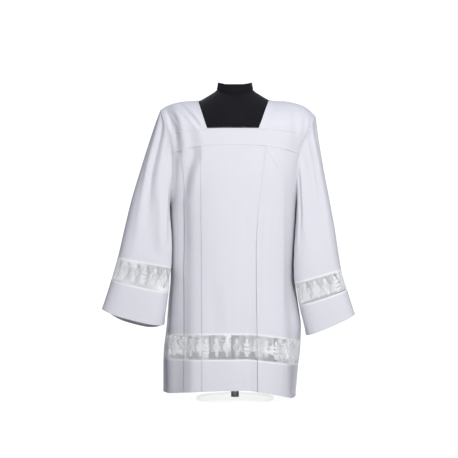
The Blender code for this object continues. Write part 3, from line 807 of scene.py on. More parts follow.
def shell(name, points, closed, material, thickness=CLOTH):
    """A closed shell of cloth round a grid of points; its UVs are metres along the cloth."""
    rows, cols = points.shape[:2]
    count = rows * cols
    out = grid_normals(points, closed) * (thickness / 2)
    vertices = np.concatenate([(points + out).reshape(-1, 3), (points - out).reshape(-1, 3)])
    row, col = np.meshgrid(np.arange(rows - 1), np.arange(cols if closed else cols - 1), indexing="ij")
    row, col = row.ravel(), col.ravel()
    after = (col + 1) % cols
    top, bottom = row * cols, (row + 1) * cols
    corners = np.stack([top + col, bottom + col, bottom + after, top + after], -1)
    middle_row = points[rows // 2]
    across = lengths_along(np.concatenate([middle_row, middle_row[:1]]))
    along = lengths_along(points[:, cols // 2])
    u = np.stack([across[col], across[col], across[col + 1], across[col + 1]], -1)
    v = np.stack([along[row], along[row + 1], along[row + 1], along[row]], -1)
    uv = np.stack([u, v], -1)
    faces, uvs = [corners, corners[:, ::-1] + count], [uv, uv[:, ::-1]]
    rims = [(row == 0, 0, 3), (row == rows - 2, 2, 1)]
    if not closed:
        rims += [(col == 0, 1, 0), (col == cols - 2, 3, 2)]
    for edge, first, second in rims:
        a, b = corners[edge, first], corners[edge, second]
        faces.append(np.stack([a, b, b + count, a + count], -1))
        uvs.append(uv[edge][:, [first, second, second, first]])
    return add_mesh(name, vertices, np.concatenate(faces), np.concatenate(uvs), material)


def ring_mesh(name, rings, material, looped=False, smooth_angle=60):
    """A closed body through rings of points (count, section, 3), capped at its ends unless it is looped."""
    count, section = rings.shape[:2]
    faces = []
    for n in range(count if looped else count - 1):
        after = (n + 1) % count
        for k in range(section):
            nxt = (k + 1) % section
            here, there = n * section, after * section
            faces.append((here + k, here + nxt, there + nxt, there + k))
    if not looped:
        faces.append(tuple(range(section))[::-1])
        faces.append(tuple((count - 1) * section + k for k in range(section)))
    return add_mesh(name, rings.reshape(-1, 3), faces, None, material, smooth_angle)


# ---- Seams, bindings and stitches ----


class Path(NamedTuple):
    """A line on the cloth with the cloth's normals along it."""

    points: np.ndarray
    normals: np.ndarray


WELT_SIDE = ((-1.0, -0.5), (-0.92, 0.35), (-0.6, 1.0))
WELT_SECTION = (*WELT_SIDE, (0.0, 0.85), *((-across, up) for across, up in WELT_SIDE[::-1]))
SAME_PLACE = 0.0002
FOLD_PROUD = 0.0004
FOLD_THICKNESS = 0.0018
WELT_WIDTH = 0.0040
WELT_RISE = 0.0009
STITCH_PITCH = 0.0030
STITCH_LENGTH = 0.0023
STITCH_RADIUS = 0.00028
STITCH_SINK = 0.6


def resampled(path, pitch):
    """The path at even steps along it."""
    shares = path_shares(path.points)
    total = lengths_along(path.points)[-1]
    at = np.linspace(0, 1, max(2, int(total / pitch) + 1))
    points, normals = (interpolated(at, shares, values) for values in path)
    return Path(points, normals / np.linalg.norm(normals, axis=1, keepdims=True))


def path_frame(path, looped=False):
    if looped:
        tangents = np.roll(path.points, -1, axis=0) - np.roll(path.points, 1, axis=0)
    else:
        tangents = np.gradient(path.points, axis=0)
    tangents /= np.linalg.norm(tangents, axis=1, keepdims=True)
    sides = np.cross(tangents, path.normals)
    return tangents, sides / np.linalg.norm(sides, axis=1, keepdims=True)


def add_strip(name, path, section, material, looped=False):
    """A strip along a path; its section is (across, up) in metres, up along the cloth's normal."""
    _, sides = path_frame(path, looped)
    rings = np.stack([path.points + sides * across + path.normals * up for across, up in section], axis=1)
    return ring_mesh(name, rings, material, looped)


def welt_section(width, rise):
    return [(across * width / 2, up * rise + CLOTH / 2) for across, up in WELT_SECTION]


def stitch_mesh(name, rows, material):
    """Rows of small raised stitches; each row is (path, how far beside it, how far above it)."""
    vertices, faces = [], []
    for path, beside, above in rows:
        even = resampled(path, STITCH_PITCH)
        tangents, sides = path_frame(even)
        centres = even.points + sides * beside + even.normals * (above + CLOTH / 2)
        for centre, along, side, up in zip(centres, tangents, sides, even.normals):
            first = len(vertices)
            half, low = along * STITCH_LENGTH / 2, up * STITCH_RADIUS * STITCH_SINK
            vertices += [centre - half - low, centre + half - low]
            vertices += [centre + side * STITCH_RADIUS, centre + up * STITCH_RADIUS]
            vertices += [centre - side * STITCH_RADIUS, centre - up * STITCH_RADIUS]
            ring = (2, 3, 4, 5)
            for k in range(4):
                a, b = first + ring[k], first + ring[(k + 1) % 4]
                faces += [(first, b, a), (first + 1, a, b)]
    return add_mesh(name, np.array(vertices), faces, None, material)


def row_path(grid, row, looped=False):
    """The path along one row of a grid of cloth."""
    points, normals = grid[row], grid_normals(grid, looped)[row]
    if looped:
        points, normals = (np.concatenate([values, values[:1]]) for values in (points, normals))
    return Path(points, normals)


def column_path(grids, column):
    """The path down one column of grids that lie one below another."""
    points = np.concatenate([grid[:, column] for grid in grids])
    normals = np.concatenate([grid_normals(grid, False)[:, column] for grid in grids])
    apart = np.linalg.norm(np.diff(points, axis=0), axis=1) > SAME_PLACE
    keep = np.concatenate([[True], apart])
    return Path(points[keep], normals[keep])


def pushed_out(grid, row):
    """The grid with an edge row moved a little further out, so that a fold wraps the edge inside it."""
    grid = grid.copy()
    before = grid[row + 1] if row == 0 else grid[row - 1]
    step = grid[row] - before
    grid[row] += step / np.linalg.norm(step, axis=-1, keepdims=True) * FOLD_PROUD
    return grid


# ---- Lace: a net of threads with solid borders and motifs, laid flat and then bent onto the garment ----

# The border, the scallops and NET_INTO_MOTIF are in millimetres, NET_FOOT and NET_TOP are shares of
# NET_HEIGHT, CORNER_GAP is a share of a lattice step, and the rest are in metres.
LACE_STEP = 0.0015
LACE_THICKNESS = 0.0008
LACE_BORDER = 6.0
SCALLOP_PITCH = 5.5
SCALLOP_RISE = 0.8
MOTIF_PITCH = 0.033
NET_CELL = 0.0062
NET_THREAD = 0.00190
NET_HEIGHT = 0.00100
NET_INTO_MOTIF = 0.4
NET_FOOT = -0.4
NET_TOP = 0.6
CORNER_GAP = 0.02
MILLIMETRES = 1000.0


class Strip:
    """A grid of cloth read as a flat strip: s metres along its rows, and t metres down its columns."""

    def __init__(self, grid, looped):
        self.looped = looped
        normals = grid_normals(grid, looped)
        if looped:
            grid, normals = (np.concatenate([values, values[:, :1]], 1) for values in (grid, normals))
        self.points, self.normals = grid, normals
        self.along = lengths_along(grid[len(grid) // 2])
        self.length = self.along[-1]
        self.height = float(np.mean([lengths_along(column)[-1] for column in grid.swapaxes(0, 1)]))

    def place(self, s, t):
        """The points on the cloth and its normals at s and t."""
        rows, cols = self.points.shape[:2]
        s = np.mod(s, self.length) if self.looped else np.clip(s, 0, self.length)
        col = np.interp(s, self.along, np.arange(cols))
        row = np.clip(t / self.height, 0, 1) * (rows - 1)
        left, top = np.minimum(col.astype(int), cols - 2), np.minimum(row.astype(int), rows - 2)
        across, down = (col - left)[:, None], (row - top)[:, None]
        found = []
        for values in (self.points, self.normals):
            upper = blend(values[top, left], values[top, left + 1], across)
            lower = blend(values[top + 1, left], values[top + 1, left + 1], across)
            found.append(blend(upper, lower, down))
        return found[0], found[1] / np.linalg.norm(found[1], axis=1, keepdims=True)

    def path(self, t, steps=400):
        return Path(*self.place(np.linspace(0, self.length * (1 - 1e-6), steps), np.full(steps, t)))


def disc(x, y, middle, radius):
    return radius - np.hypot(x - middle[0], y - middle[1])


def bar(x, y, start, end, half):
    """A round-ended bar from start to end."""
    step = np.subtract(end, start)
    share = np.clip(((x - start[0]) * step[0] + (y - start[1]) * step[1]) / (step @ step), 0, 1)
    return half - np.hypot(x - start[0] - share * step[0], y - start[1] - share * step[1])


def leaf(x, y, root, turn, length, half):
    """A pointed leaf that grows from root at turn degrees from upright."""
    lean = math.radians(turn)
    along = (x - root[0]) * math.sin(lean) + (y - root[1]) * math.cos(lean)
    beside = (x - root[0]) * math.cos(lean) - (y - root[1]) * math.sin(lean)
    middle = (along - length / 2) / (length / 2)
    return np.minimum(half * (1 - middle**2) - np.abs(beside), half)


def lozenge(x, y, middle, half_width, half_height):
    share = np.abs(x - middle[0]) / half_width + np.abs(y - middle[1]) / half_height
    return (1 - share) * half_width * half_height / math.hypot(half_width, half_height)


def cut_from(shape, hole):
    return np.minimum(shape, -hole)


def joined(*shapes):
    return np.maximum.reduce(shapes)


def sprig(x, y):
    """An upright sprig: a stem with three pairs of leaves, a bud and a foot."""
    side = np.abs(x)
    return joined(
        bar(x, y, (0, -27), (0, 14), 1.3),
        leaf(side, y, (0.4, -22), 52, 14, 2.9),
        leaf(side, y, (0.4, -10), 48, 15, 3.2),
        leaf(side, y, (0.4, 2), 42, 14, 3.0),
        leaf(x, y, (0, 11), 0, 17, 3.6),
        bar(x, y, (-6.5, -27), (6.5, -27), 1.5),
    )


def quatrefoil(x, y):
    """A four-lobed ring round a small lozenge, with a lozenge above it and one below."""
    side, up = np.abs(x), np.abs(y)
    lobes = joined(disc(side, y, (5.6, 0), 7.2), disc(x, up, (0, 5.6), 7.2))
    holes = joined(disc(side, y, (5.9, 0), 4.0), disc(x, up, (0, 5.9), 4.0))
    return joined(
        cut_from(lobes, holes),
        lozenge(x, y, (0, 0), 4.4, 4.4),
        cut_from(lozenge(x, up, (0, 20.5), 7.0, 8.5), lozenge(x, up, (0, 20.5), 2.6, 3.2)),
    )


def lozenges(x, y):
    """A tall open lozenge with one inside it and a disc at each corner."""
    up = np.abs(y)
    return joined(
        cut_from(lozenge(x, y, (0, 0), 13.5, 22.0), lozenge(x, y, (0, 0), 9.6, 15.6)),
        cut_from(lozenge(x, y, (0, 0), 7.0, 11.5), lozenge(x, y, (0, 0), 2.8, 4.6)),
        disc(x, up, (0, 24.5), 3.8),
        disc(np.abs(x), up, (9.5, 20.5), 2.6),
    )


MOTIFS = (sprig, quatrefoil, lozenges, quatrefoil)


def lace_field(strip, s, t):
    """How many millimetres inside the solid parts of the lace a place lies; below 0 there is only net."""
    pitch = strip.length / max(1, round(strip.length / MOTIF_PITCH))
    s = np.mod(s, strip.length)
    x = (np.mod(s, pitch) - pitch / 2) * MILLIMETRES
    y = (strip.height / 2 - t) * MILLIMETRES
    edge = np.minimum(t, strip.height - t) * MILLIMETRES
    scallops = SCALLOP_RISE * np.cos(2 * np.pi * s * MILLIMETRES / SCALLOP_PITCH)
    kind = (s / pitch).astype(int) % len(MOTIFS)
    motifs = np.select([kind == n for n in range(len(MOTIFS))], [motif(x, y) for motif in MOTIFS])
    return np.maximum(LACE_BORDER + scallops - edge, motifs)


def cut_polygons(field, looped):
    """The places of the corners, in lattice steps, and the faces of the polygons where a field is above 0."""
    wide, high = field.shape
    cells = wide if looped else wide - 1
    i, j = (part.ravel() for part in np.meshgrid(np.arange(cells), np.arange(high - 1), indexing="ij"))
    after = (i + 1) % wide
    corners = [i * high + j, after * high + j, after * high + j + 1, i * high + j + 1]
    count = field.size
    crossings = [count + corners[0], 2 * count + corners[1], count + corners[3], 2 * count + corners[0]]
    inside = [field.ravel()[corner] > 0 for corner in corners]
    lattice = np.meshgrid(np.arange(wide), np.arange(high), indexing="ij")
    grid_i, grid_j = (part.astype(float) for part in lattice)
    shares = []
    for axis in (0, 1):
        change = field - np.roll(field, -1, axis)
        crossing = field / np.where(change == 0, 1, change)
        shares.append(np.clip(crossing, CORNER_GAP, 1 - CORNER_GAP))
    places = np.concatenate(
        [
            np.stack([grid_i.ravel(), grid_j.ravel()], -1),
            np.stack([(grid_i + shares[0]).ravel(), grid_j.ravel()], -1),
            np.stack([grid_i.ravel(), (grid_j + shares[1]).ravel()], -1),
        ]
    )
    case = sum(part.astype(int) << n for n, part in enumerate(inside))
    faces = []
    for pattern in range(1, 16):
        here = case == pattern
        if not here.any():
            continue
        walk = []
        for n in range(4):
            if pattern >> n & 1:
                walk.append(corners[n][here])
            if (pattern >> n & 1) != (pattern >> (n + 1) % 4 & 1):
                walk.append(crossings[n][here])
        faces.append(np.stack(walk, -1))
    return places, faces


def rims_of(faces):
    """The edges that only one face has, in that face's direction."""
    starts = np.concatenate([part.ravel() for part in faces])
    ends = np.concatenate([np.roll(part, -1, axis=1).ravel() for part in faces])
    span = int(max(starts.max(), ends.max())) + 1
    forward, backward = starts * span + ends, ends * span + starts
    alone = ~np.isin(forward, backward)
    return starts[alone], ends[alone]


def solid_lace(strip):
    """The borders and motifs as a thin closed body: vertices, faces and each vertex's UVs."""
    steps = (round(strip.length / LACE_STEP), round(strip.height / LACE_STEP))
    s = np.arange(steps[0] + (0 if strip.looped else 1)) * strip.length / steps[0]
    t = np.arange(steps[1] + 1) * strip.height / steps[1]
    field = lace_field(strip, *np.meshgrid(s, t, indexing="ij"))
    places, faces = cut_polygons(field, strip.looped)
    used, index = np.unique(np.concatenate([part.ravel() for part in faces]), return_inverse=True)
    ends = np.cumsum([part.size for part in faces])[:-1]
    faces = [flat.reshape(part.shape) for flat, part in zip(np.split(index.ravel(), ends), faces)]
    uv = places[used] * (strip.length / steps[0], strip.height / steps[1])
    points, normals = strip.place(uv[:, 0], uv[:, 1])
    out = normals * LACE_THICKNESS / 2
    starts, stops = rims_of(faces)
    count = len(used)
    walls = np.stack([stops, starts, starts + count, stops + count], -1)
    faces = [part[:, ::-1] for part in faces] + [part + count for part in faces] + [walls[:, ::-1]]
    return np.concatenate([points + out, points - out]), faces, np.concatenate([uv, uv])


def net_threads(strip):
    """The hexagonal net's threads between the motifs, each a thin three-sided bar."""
    around = round(strip.length / NET_CELL)
    width = strip.length / around
    radius = NET_CELL / math.sqrt(3)
    down = int((strip.height - 2 * LACE_BORDER / MILLIMETRES) / (1.5 * radius)) + 3
    i, j = (part.ravel() for part in np.meshgrid(np.arange(around), np.arange(down), indexing="ij"))
    middle = np.stack([(i + 0.5 * (j % 2)) * width, LACE_BORDER / MILLIMETRES + (j - 1) * 1.5 * radius], -1)
    turns = np.radians(30 + 60 * np.arange(4))
    corners = [middle + [math.cos(turn) * width / math.sqrt(3), math.sin(turn) * radius] for turn in turns]
    starts, stops = np.concatenate(corners[:3]), np.concatenate(corners[1:])
    halfway = (starts + stops) / 2
    edge = np.minimum(halfway[:, 1], strip.height - halfway[:, 1])
    keep = (edge > (LACE_BORDER - 2 * SCALLOP_RISE) / MILLIMETRES) & (
        lace_field(strip, halfway[:, 0], halfway[:, 1]) < NET_INTO_MOTIF
    )
    if not strip.looped:
        left, right = np.minimum(starts[:, 0], stops[:, 0]), np.maximum(starts[:, 0], stops[:, 0])
        keep &= (left > 0) & (right < strip.length)
    starts, stops = starts[keep], stops[keep]
    step = stops - starts
    length = np.linalg.norm(step, axis=1, keepdims=True)
    beside = np.stack([-step[:, 1], step[:, 0]], -1) / length * NET_THREAD / 2
    rings, uvs = [], []
    for end in (starts, stops):
        for off, up in ((-beside, NET_FOOT), (beside, NET_FOOT), (0 * beside, NET_TOP)):
            uv = end + off
            points, normals = strip.place(uv[:, 0], uv[:, 1])
            rings.append(points + normals * NET_HEIGHT * up)
            uvs.append(uv)
    vertices, uv = np.stack(rings, 1), np.stack(uvs, 1)
    first = np.arange(len(vertices))[:, None] * 6
    quads = [first + part for part in ((0, 1, 4, 3), (1, 2, 5, 4), (2, 0, 3, 5))]
    ends = [first + part for part in ((0, 2, 1), (3, 4, 5))]
    return vertices.reshape(-1, 3), quads + ends, uv.reshape(-1, 2)


def volume_sign(vertices, faces):
    """1 where faces look out of the body that they close, and -1 where they look in."""
    total = 0.0
    for part in faces:
        corners = [vertices[column] for column in part.T]
        for before, after in zip(corners[1:], corners[2:]):
            total += np.einsum("ij,ij->", corners[0], np.cross(before, after))
    return np.sign(total)


def lace_mesh(name, grid, looped, material):
    strip = Strip(grid, looped)
    vertices, faces, uvs = [], [], []
    for body in (solid_lace(strip), net_threads(strip)):
        first = sum(len(part) for part in vertices)
        turned = volume_sign(body[0], body[1]) < 0
        vertices.append(body[0])
        uvs.append(body[2])
        faces += [(part[:, ::-1] if turned else part) + first for part in body[1]]
    uvs = np.concatenate(uvs)
    polygons = [face for part in faces for face in part.tolist()]
    corner_uvs = np.concatenate([uvs[part].reshape(-1, 2) for part in faces])
    return add_mesh(name, np.concatenate(vertices), polygons, corner_uvs, material, 40), strip


# ---- Materials ----


class Nodes:
    """A short way to build the node tree of a material or a world."""

    def __init__(self, owner):
        self.owner = owner
        owner.use_nodes = True
        self.tree = owner.node_tree
        self.tree.nodes.clear()

    def feed(self, socket, value):
        if isinstance(value, bpy.types.NodeSocket):
            self.tree.links.new(value, socket)
        else:
            socket.default_value = value

    def add(self, kind, inputs=None, **settings):
        node = self.tree.nodes.new(kind)
        for key, value in settings.items():
            setattr(node, key, value)
        for key, value in (inputs or {}).items():
            self.feed(node.inputs[key], value)
        return node

    def texture_place(self):
        return self.add("ShaderNodeTexCoord").outputs["Object"]

    def math(self, operation, first, second=0.0):
        return self.add("ShaderNodeMath", {0: first, 1: second}, operation=operation).outputs[0]

    def line(self, value, slope, start):
        """start + slope * value."""
        return self.math("ADD", self.math("MULTIPLY", value, slope), start)

    def mixed(self, first, first_share, second, second_share):
        return self.line(first, first_share, self.math("MULTIPLY", second, second_share))

    def bump(self, height, distance, strength, **beneath):
        """Normals bumped by a height in metres times distance, on top of those beneath it."""
        inputs = {"Height": height, "Distance": distance, "Strength": strength, **beneath}
        return self.add("ShaderNodeBump", inputs).outputs[0]

    def sine(self, value, pitch):
        """sin of pi * value / pitch: one half wave to a thread."""
        return self.math("SINE", self.math("MULTIPLY", value, math.pi / pitch))

    def ramp(self, factor, low, high):
        colours = {"A": (*low, 1.0), "B": (*high, 1.0), "Factor": factor}
        node = self.add("ShaderNodeMix", data_type="RGBA")
        for key, value in colours.items():
            self.feed(next(s for s in node.inputs if s.name == key and s.enabled), value)
        return next(s for s in node.outputs if s.enabled)

    def finish(self, shader, kind="ShaderNodeOutputMaterial"):
        self.add(kind, {"Surface": shader})
        return self.owner


def material_nodes(name):
    return Nodes(bpy.data.materials.new(name))


def noise(nodes, vector, scale, detail=2.0, roughness=0.5):
    inputs = {"Vector": vector, "Scale": scale, "Detail": detail, "Roughness": roughness}
    return nodes.add("ShaderNodeTexNoise", inputs).outputs["Fac"]


WEAVE_PITCH = 0.00045
CLOTH_SEE_THROUGH = 0.15
LACE_SEE_THROUGH = 0.10
CLOTH_LOW = (0.735, 0.730, 0.776)
CLOTH_HIGH = (0.770, 0.764, 0.806)
LACE_LOW = (0.825, 0.825, 0.840)
LACE_HIGH = (0.870, 0.870, 0.880)


def cloth_material(name, low, high, see_through):
    """Plain-weave cotton: threads over and under, slubs, faint mottling and small soft crumples."""
    nodes = material_nodes(name)
    uv = nodes.add("ShaderNodeUVMap", uv_map="cloth").outputs["UV"]
    place = nodes.texture_place()
    split = nodes.add("ShaderNodeSeparateXYZ", {0: uv})
    across, along = split.outputs["X"], split.outputs["Y"]
    threads = nodes.math("MULTIPLY", nodes.sine(across, WEAVE_PITCH), nodes.sine(along, WEAVE_PITCH))
    stretched = nodes.add("ShaderNodeMapping", {"Vector": uv, "Scale": (900.0, 60.0, 1.0)}).outputs[0]
    slubs = noise(nodes, stretched, 1.0, 3.0)
    crumples = noise(nodes, place, 34.0, 3.0, 0.45)
    mottling = noise(nodes, place, 9.0, 2.0)
    colour = nodes.ramp(nodes.mixed(mottling, 0.6, slubs, 0.4), low, high)
    fine = nodes.bump(nodes.math("ADD", threads, slubs), 0.00006, 0.35)
    soft = nodes.bump(crumples, 0.0022, 0.30, Normal=fine)
    inputs = {"Base Color": colour, "Roughness": nodes.line(slubs, 0.12, 0.70), "Normal": soft}
    inputs |= {"Sheen Weight": 0.12, "Sheen Roughness": 0.5, "Specular IOR Level": 0.25}
    shader = nodes.add("ShaderNodeBsdfPrincipled", inputs)
    glow = nodes.add("ShaderNodeBsdfTranslucent", {"Color": colour, "Normal": soft})
    mix = nodes.add("ShaderNodeMixShader", {0: see_through, 1: shader.outputs[0], 2: glow.outputs[0]})
    return nodes.finish(mix.outputs[0])


JERSEY_PITCH = 0.0016
JERSEY_RADIUS = 0.058
JERSEY_LOW = (0.0045, 0.0045, 0.0065)
JERSEY_HIGH = (0.0100, 0.0098, 0.0130)


def jersey_material():
    """Black knitted jersey: fine columns of stitches with a faint bloom."""
    nodes = material_nodes("black_jersey")
    place = nodes.texture_place()
    split = nodes.add("ShaderNodeSeparateXYZ", {0: place})
    angle = nodes.math("ARCTAN2", split.outputs["Y"], split.outputs["X"])
    column = nodes.math("MULTIPLY", angle, JERSEY_RADIUS)
    ribs = nodes.math("ABSOLUTE", nodes.sine(column, JERSEY_PITCH))
    courses = nodes.sine(split.outputs["Z"], JERSEY_PITCH / 2)
    lint = noise(nodes, place, 420.0, 2.0)
    fade = noise(nodes, place, 14.0, 2.0)
    inputs = {
        "Base Color": nodes.ramp(nodes.mixed(fade, 0.5, lint, 0.5), JERSEY_LOW, JERSEY_HIGH),
        "Roughness": 0.85,
        "Normal": nodes.bump(nodes.mixed(ribs, 1.4, courses, 0.4), 0.0004, 0.5),
        "Sheen Weight": 0.06,
        "Sheen Roughness": 0.4,
        "Specular IOR Level": 0.15,
    }
    shader = nodes.add("ShaderNodeBsdfPrincipled", inputs)
    return nodes.finish(shader.outputs[0])


WHITE = (1.0, 1.0, 1.0, 1.0)
FLOOR_COLOUR = 0.42
FLOOR_GLOW = 0.95
GLASS_FACE = 0.08
GLASS_EDGE = 0.16
BASE_RADIUS = 0.125
BASE_ROUNDING = 0.002


def glass_material():
    """Clear tempered glass with a little dust, and a green tint round its rim."""
    nodes = material_nodes("clear_glass")
    place = nodes.texture_place()
    split = nodes.add("ShaderNodeSeparateXYZ", {0: place})
    squares = [nodes.math("POWER", split.outputs[axis], 2.0) for axis in ("X", "Y")]
    radius = nodes.math("SQRT", nodes.math("ADD", *squares))
    edge = nodes.math("GREATER_THAN", radius, BASE_RADIUS - BASE_ROUNDING)
    dust = noise(nodes, place, 260.0, 3.0)
    colour = nodes.ramp(edge, (0.96, 0.98, 0.97), (0.66, 0.86, 0.78))
    solid = nodes.line(edge, GLASS_EDGE - GLASS_FACE, GLASS_FACE)
    inputs = {"Base Color": colour, "Roughness": nodes.line(dust, 0.08, 0.04), "Alpha": solid, "IOR": 1.5}
    shader = nodes.add("ShaderNodeBsdfPrincipled", inputs)
    return nodes.finish(shader.outputs[0])


def steel_material():
    """Steel tube, brushed round its length, with fine grooves and faint streaks."""
    nodes = material_nodes("brushed_steel_tube")
    place = nodes.texture_place()
    stretched = nodes.add("ShaderNodeMapping", {"Vector": place, "Scale": (30.0, 30.0, 2600.0)}).outputs[0]
    grooves = noise(nodes, stretched, 1.0, 3.0)
    streaks = noise(nodes, place, 45.0, 2.0)
    colour = nodes.ramp(streaks, (0.56, 0.56, 0.57), (0.66, 0.66, 0.67))
    inputs = {"Base Color": colour, "Roughness": nodes.line(grooves, 0.16, 0.24), "Metallic": 1.0}
    inputs["Normal"] = nodes.bump(grooves, 0.00008, 0.5)
    shader = nodes.add("ShaderNodeBsdfPrincipled", inputs)
    return nodes.finish(shader.outputs[0])


def floor_material():
    """A pale floor that shows as white and lights the object less than it shows."""
    nodes = material_nodes("studio_floor")
    place = nodes.texture_place()
    colour = nodes.ramp(noise(nodes, place, 3.0), (FLOOR_COLOUR,) * 3, (FLOOR_COLOUR + 0.02,) * 3)
    shader = nodes.add("ShaderNodeBsdfPrincipled", {"Base Color": colour, "Roughness": 0.9})
    seen = nodes.add("ShaderNodeLightPath").outputs["Is Camera Ray"]
    strength = nodes.math("MULTIPLY", seen, FLOOR_GLOW)
    glow = nodes.add("ShaderNodeEmission", {"Color": WHITE, "Strength": strength})
    both = nodes.add("ShaderNodeAddShader", {0: shader.outputs[0], 1: glow.outputs[0]})
    return nodes.finish(both.outputs[0])


# ---- The studio ----

VIEW_WIDTH = 1.4885
CAMERA_DISTANCE = 4.0
CAMERA_X = -0.0195
CAMERA_HEIGHT = 0.5525
SENSOR = 36.0
FLOOR_RADIUS = 14.0
HORIZON_LIGHT = (0.05, 0.05, 0.06)
ZENITH_LIGHT = (1.06, 1.14, 1.30)
ZENITH_POWER = 3.0
WALL_GLOW = 1.1
FLOOR_SIDES = 96
FLOOR_INNER = 1.0
KEY_PLACE = (0.88, -3.95, 1.85)
KEY_SIZE = 1.0
KEY_POWER = 155.0
LIGHT_AIM = np.array((0.0, 0.0, 0.6))


def add_camera():
    camera = bpy.data.cameras.new("camera")
    camera.sensor_width = SENSOR
    camera.lens = SENSOR * CAMERA_DISTANCE / VIEW_WIDTH
    camera.clip_end = 100.0
    obj = add_object("camera", camera)
    obj.location = (CAMERA_X, -CAMERA_DISTANCE, CAMERA_HEIGHT)
    obj.rotation_euler = (math.pi / 2, 0, 0)
    bpy.context.scene.camera = obj


def add_light():
    """A square area light, aimed at the middle of the garment."""
    data = bpy.data.lights.new("key", "AREA")
    data.size = KEY_SIZE
    data.energy = KEY_POWER
    obj = add_object("key", data)
    obj.location = KEY_PLACE
    obj.rotation_euler = Vector(LIGHT_AIM - np.array(KEY_PLACE)).to_track_quat("-Z", "Y").to_euler()


def add_world():
    """A soft even studio whose walls show white and light the object less than they show."""
    nodes = Nodes(bpy.data.worlds.new("studio"))
    wall = nodes.add("ShaderNodeBackground", {"Color": WHITE, "Strength": WALL_GLOW})
    place = nodes.add("ShaderNodeTexCoord").outputs["Generated"]
    up = nodes.add("ShaderNodeSeparateXYZ", {0: place}).outputs["Z"]
    above = nodes.add("ShaderNodeClamp", {"Value": up}).outputs[0]
    colour = nodes.ramp(nodes.math("POWER", above, ZENITH_POWER), HORIZON_LIGHT, ZENITH_LIGHT)
    room = nodes.add("ShaderNodeBackground", {"Color": colour})
    seen = nodes.add("ShaderNodeLightPath").outputs["Is Camera Ray"]
    mix = nodes.add("ShaderNodeMixShader", {0: seen, 1: room.outputs[0], 2: wall.outputs[0]})
    bpy.context.scene.world = nodes.finish(mix.outputs[0], "ShaderNodeOutputWorld")


def add_floor():
    """A disc on the ground, as a fan with a ring of quads round it."""
    sides = FLOOR_SIDES
    turn = 2 * np.pi * np.arange(sides) / sides
    ring = np.stack([np.cos(turn), np.sin(turn), np.zeros(sides)], -1)
    vertices = np.concatenate([[[0.0, 0.0, 0.0]], ring * FLOOR_INNER, ring * FLOOR_RADIUS])
    faces = []
    for k in range(sides):
        nxt = (k + 1) % sides
        faces.append((0, 1 + k, 1 + nxt))
        faces.append((1 + k, 1 + sides + k, 1 + sides + nxt, 1 + nxt))
    floor = add_mesh("floor", vertices, faces, None, floor_material())


# ---- Creases ----

# On the body, the bands and the shoulders a place is (x, height). Panels count from 0 at the left.
CREASES = {
    FRONT: (
        Crease((-0.184, 0.952), (-0.146, 0.925), (-0.104, 0.864), 0.0058, 0.0056, power=1.5, shoulders=0.55),
        Crease((-0.234, 0.948), (-0.194, 0.900), (-0.182, 0.775), 0.0160, 0.0105),
        Crease((-0.216, 0.915), (-0.208, 0.870), (-0.204, 0.780), 0.0055, 0.0030),
        Crease((-0.205, 0.930), (-0.190, 0.905), (-0.176, 0.880), 0.0050, 0.0022, power=1.6),
        Crease((-0.150, 0.880), (-0.134, 0.840), (-0.126, 0.740), 0.0170, 0.0044),
        Crease((0.190, 0.952), (0.198, 0.900), (0.190, 0.780), 0.0140, 0.0042),
        Crease((0.224, 0.930), (0.222, 0.890), (0.214, 0.820), 0.0070, 0.0030),
        Crease((0.125, 0.948), (0.104, 0.912), (0.084, 0.872), 0.0100, 0.0022),
        Crease((-0.126, 0.812), (-0.150, 0.770), (-0.168, 0.640), 0.0170, 0.0110),
        Crease((-0.206, 0.800), (-0.200, 0.740), (-0.200, 0.600), 0.0180, 0.0060, shoulders=0.0),
        Crease((-0.168, 0.830), (-0.163, 0.400), (-0.160, -0.300), 0.0220, 0.0060, shoulders=0.0),
        Crease((-0.174, 0.800), (-0.167, 0.600), (-0.164, 0.400), 0.0200, 0.0060, shoulders=0.0),
        Crease((-0.0098, 0.830), (-0.0098, 0.640), (-0.0098, 0.395), 0.0022, 0.0014, power=1.2),
        Crease((0.092, 0.812), (0.072, 0.560), (0.064, 0.240), 0.0150, 0.0046),
        Crease((0.0975, 0.812), (0.124, 0.775), (0.152, 0.715), 0.0038, -0.0016, power=1.4),
        Crease((-0.070, 0.420), (-0.060, 0.280), (-0.068, 0.060), 0.0200, 0.0022),
        Crease((0.110, 0.400), (0.108, 0.240), (0.116, 0.020), 0.0170, -0.0022, open=True),
        Crease(
            (0.046, 0.700), (0.040, 0.350), (0.042, 0.046), 0.0220, 0.0110,
            shoulders=0.0, panel=2, open=True,
        ),
        Crease(
            (0.170, 0.720), (0.174, 0.480), (0.204, 0.030), 0.0230, 0.0140,
            shoulders=0.0, panel=4, open=True,
        ),
    ),
    BACK: (
        Crease((-0.190, 0.950), (-0.160, 0.920), (-0.120, 0.880), 0.0080, 0.0026, shoulders=0.4),
        Crease((0.200, 0.945), (0.165, 0.915), (0.130, 0.865), 0.0090, 0.0026, shoulders=0.4),
        Crease((-0.060, 0.905), (-0.050, 0.885), (-0.062, 0.800), 0.0120, 0.0014),
        Crease((0.070, 0.905), (0.064, 0.880), (0.070, 0.790), 0.0130, 0.0014),
        Crease((-0.112, 0.840), (-0.130, 0.700), (-0.150, 0.480), 0.0200, 0.0070, panel=1),
        Crease((-0.000, 0.860), (0.000, 0.620), (0.000, 0.360), 0.0016, 0.0006, power=1.2),
        Crease((0.030, 0.700), (0.022, 0.400), (0.030, 0.080), 0.0220, -0.0030),
        Crease((0.120, 0.850), (0.134, 0.760), (0.150, 0.650), 0.0100, 0.0030, panel=3),
        Crease((0.120, 0.420), (0.114, 0.240), (0.118, 0.020), 0.0170, -0.0024, open=True),
    ),
}

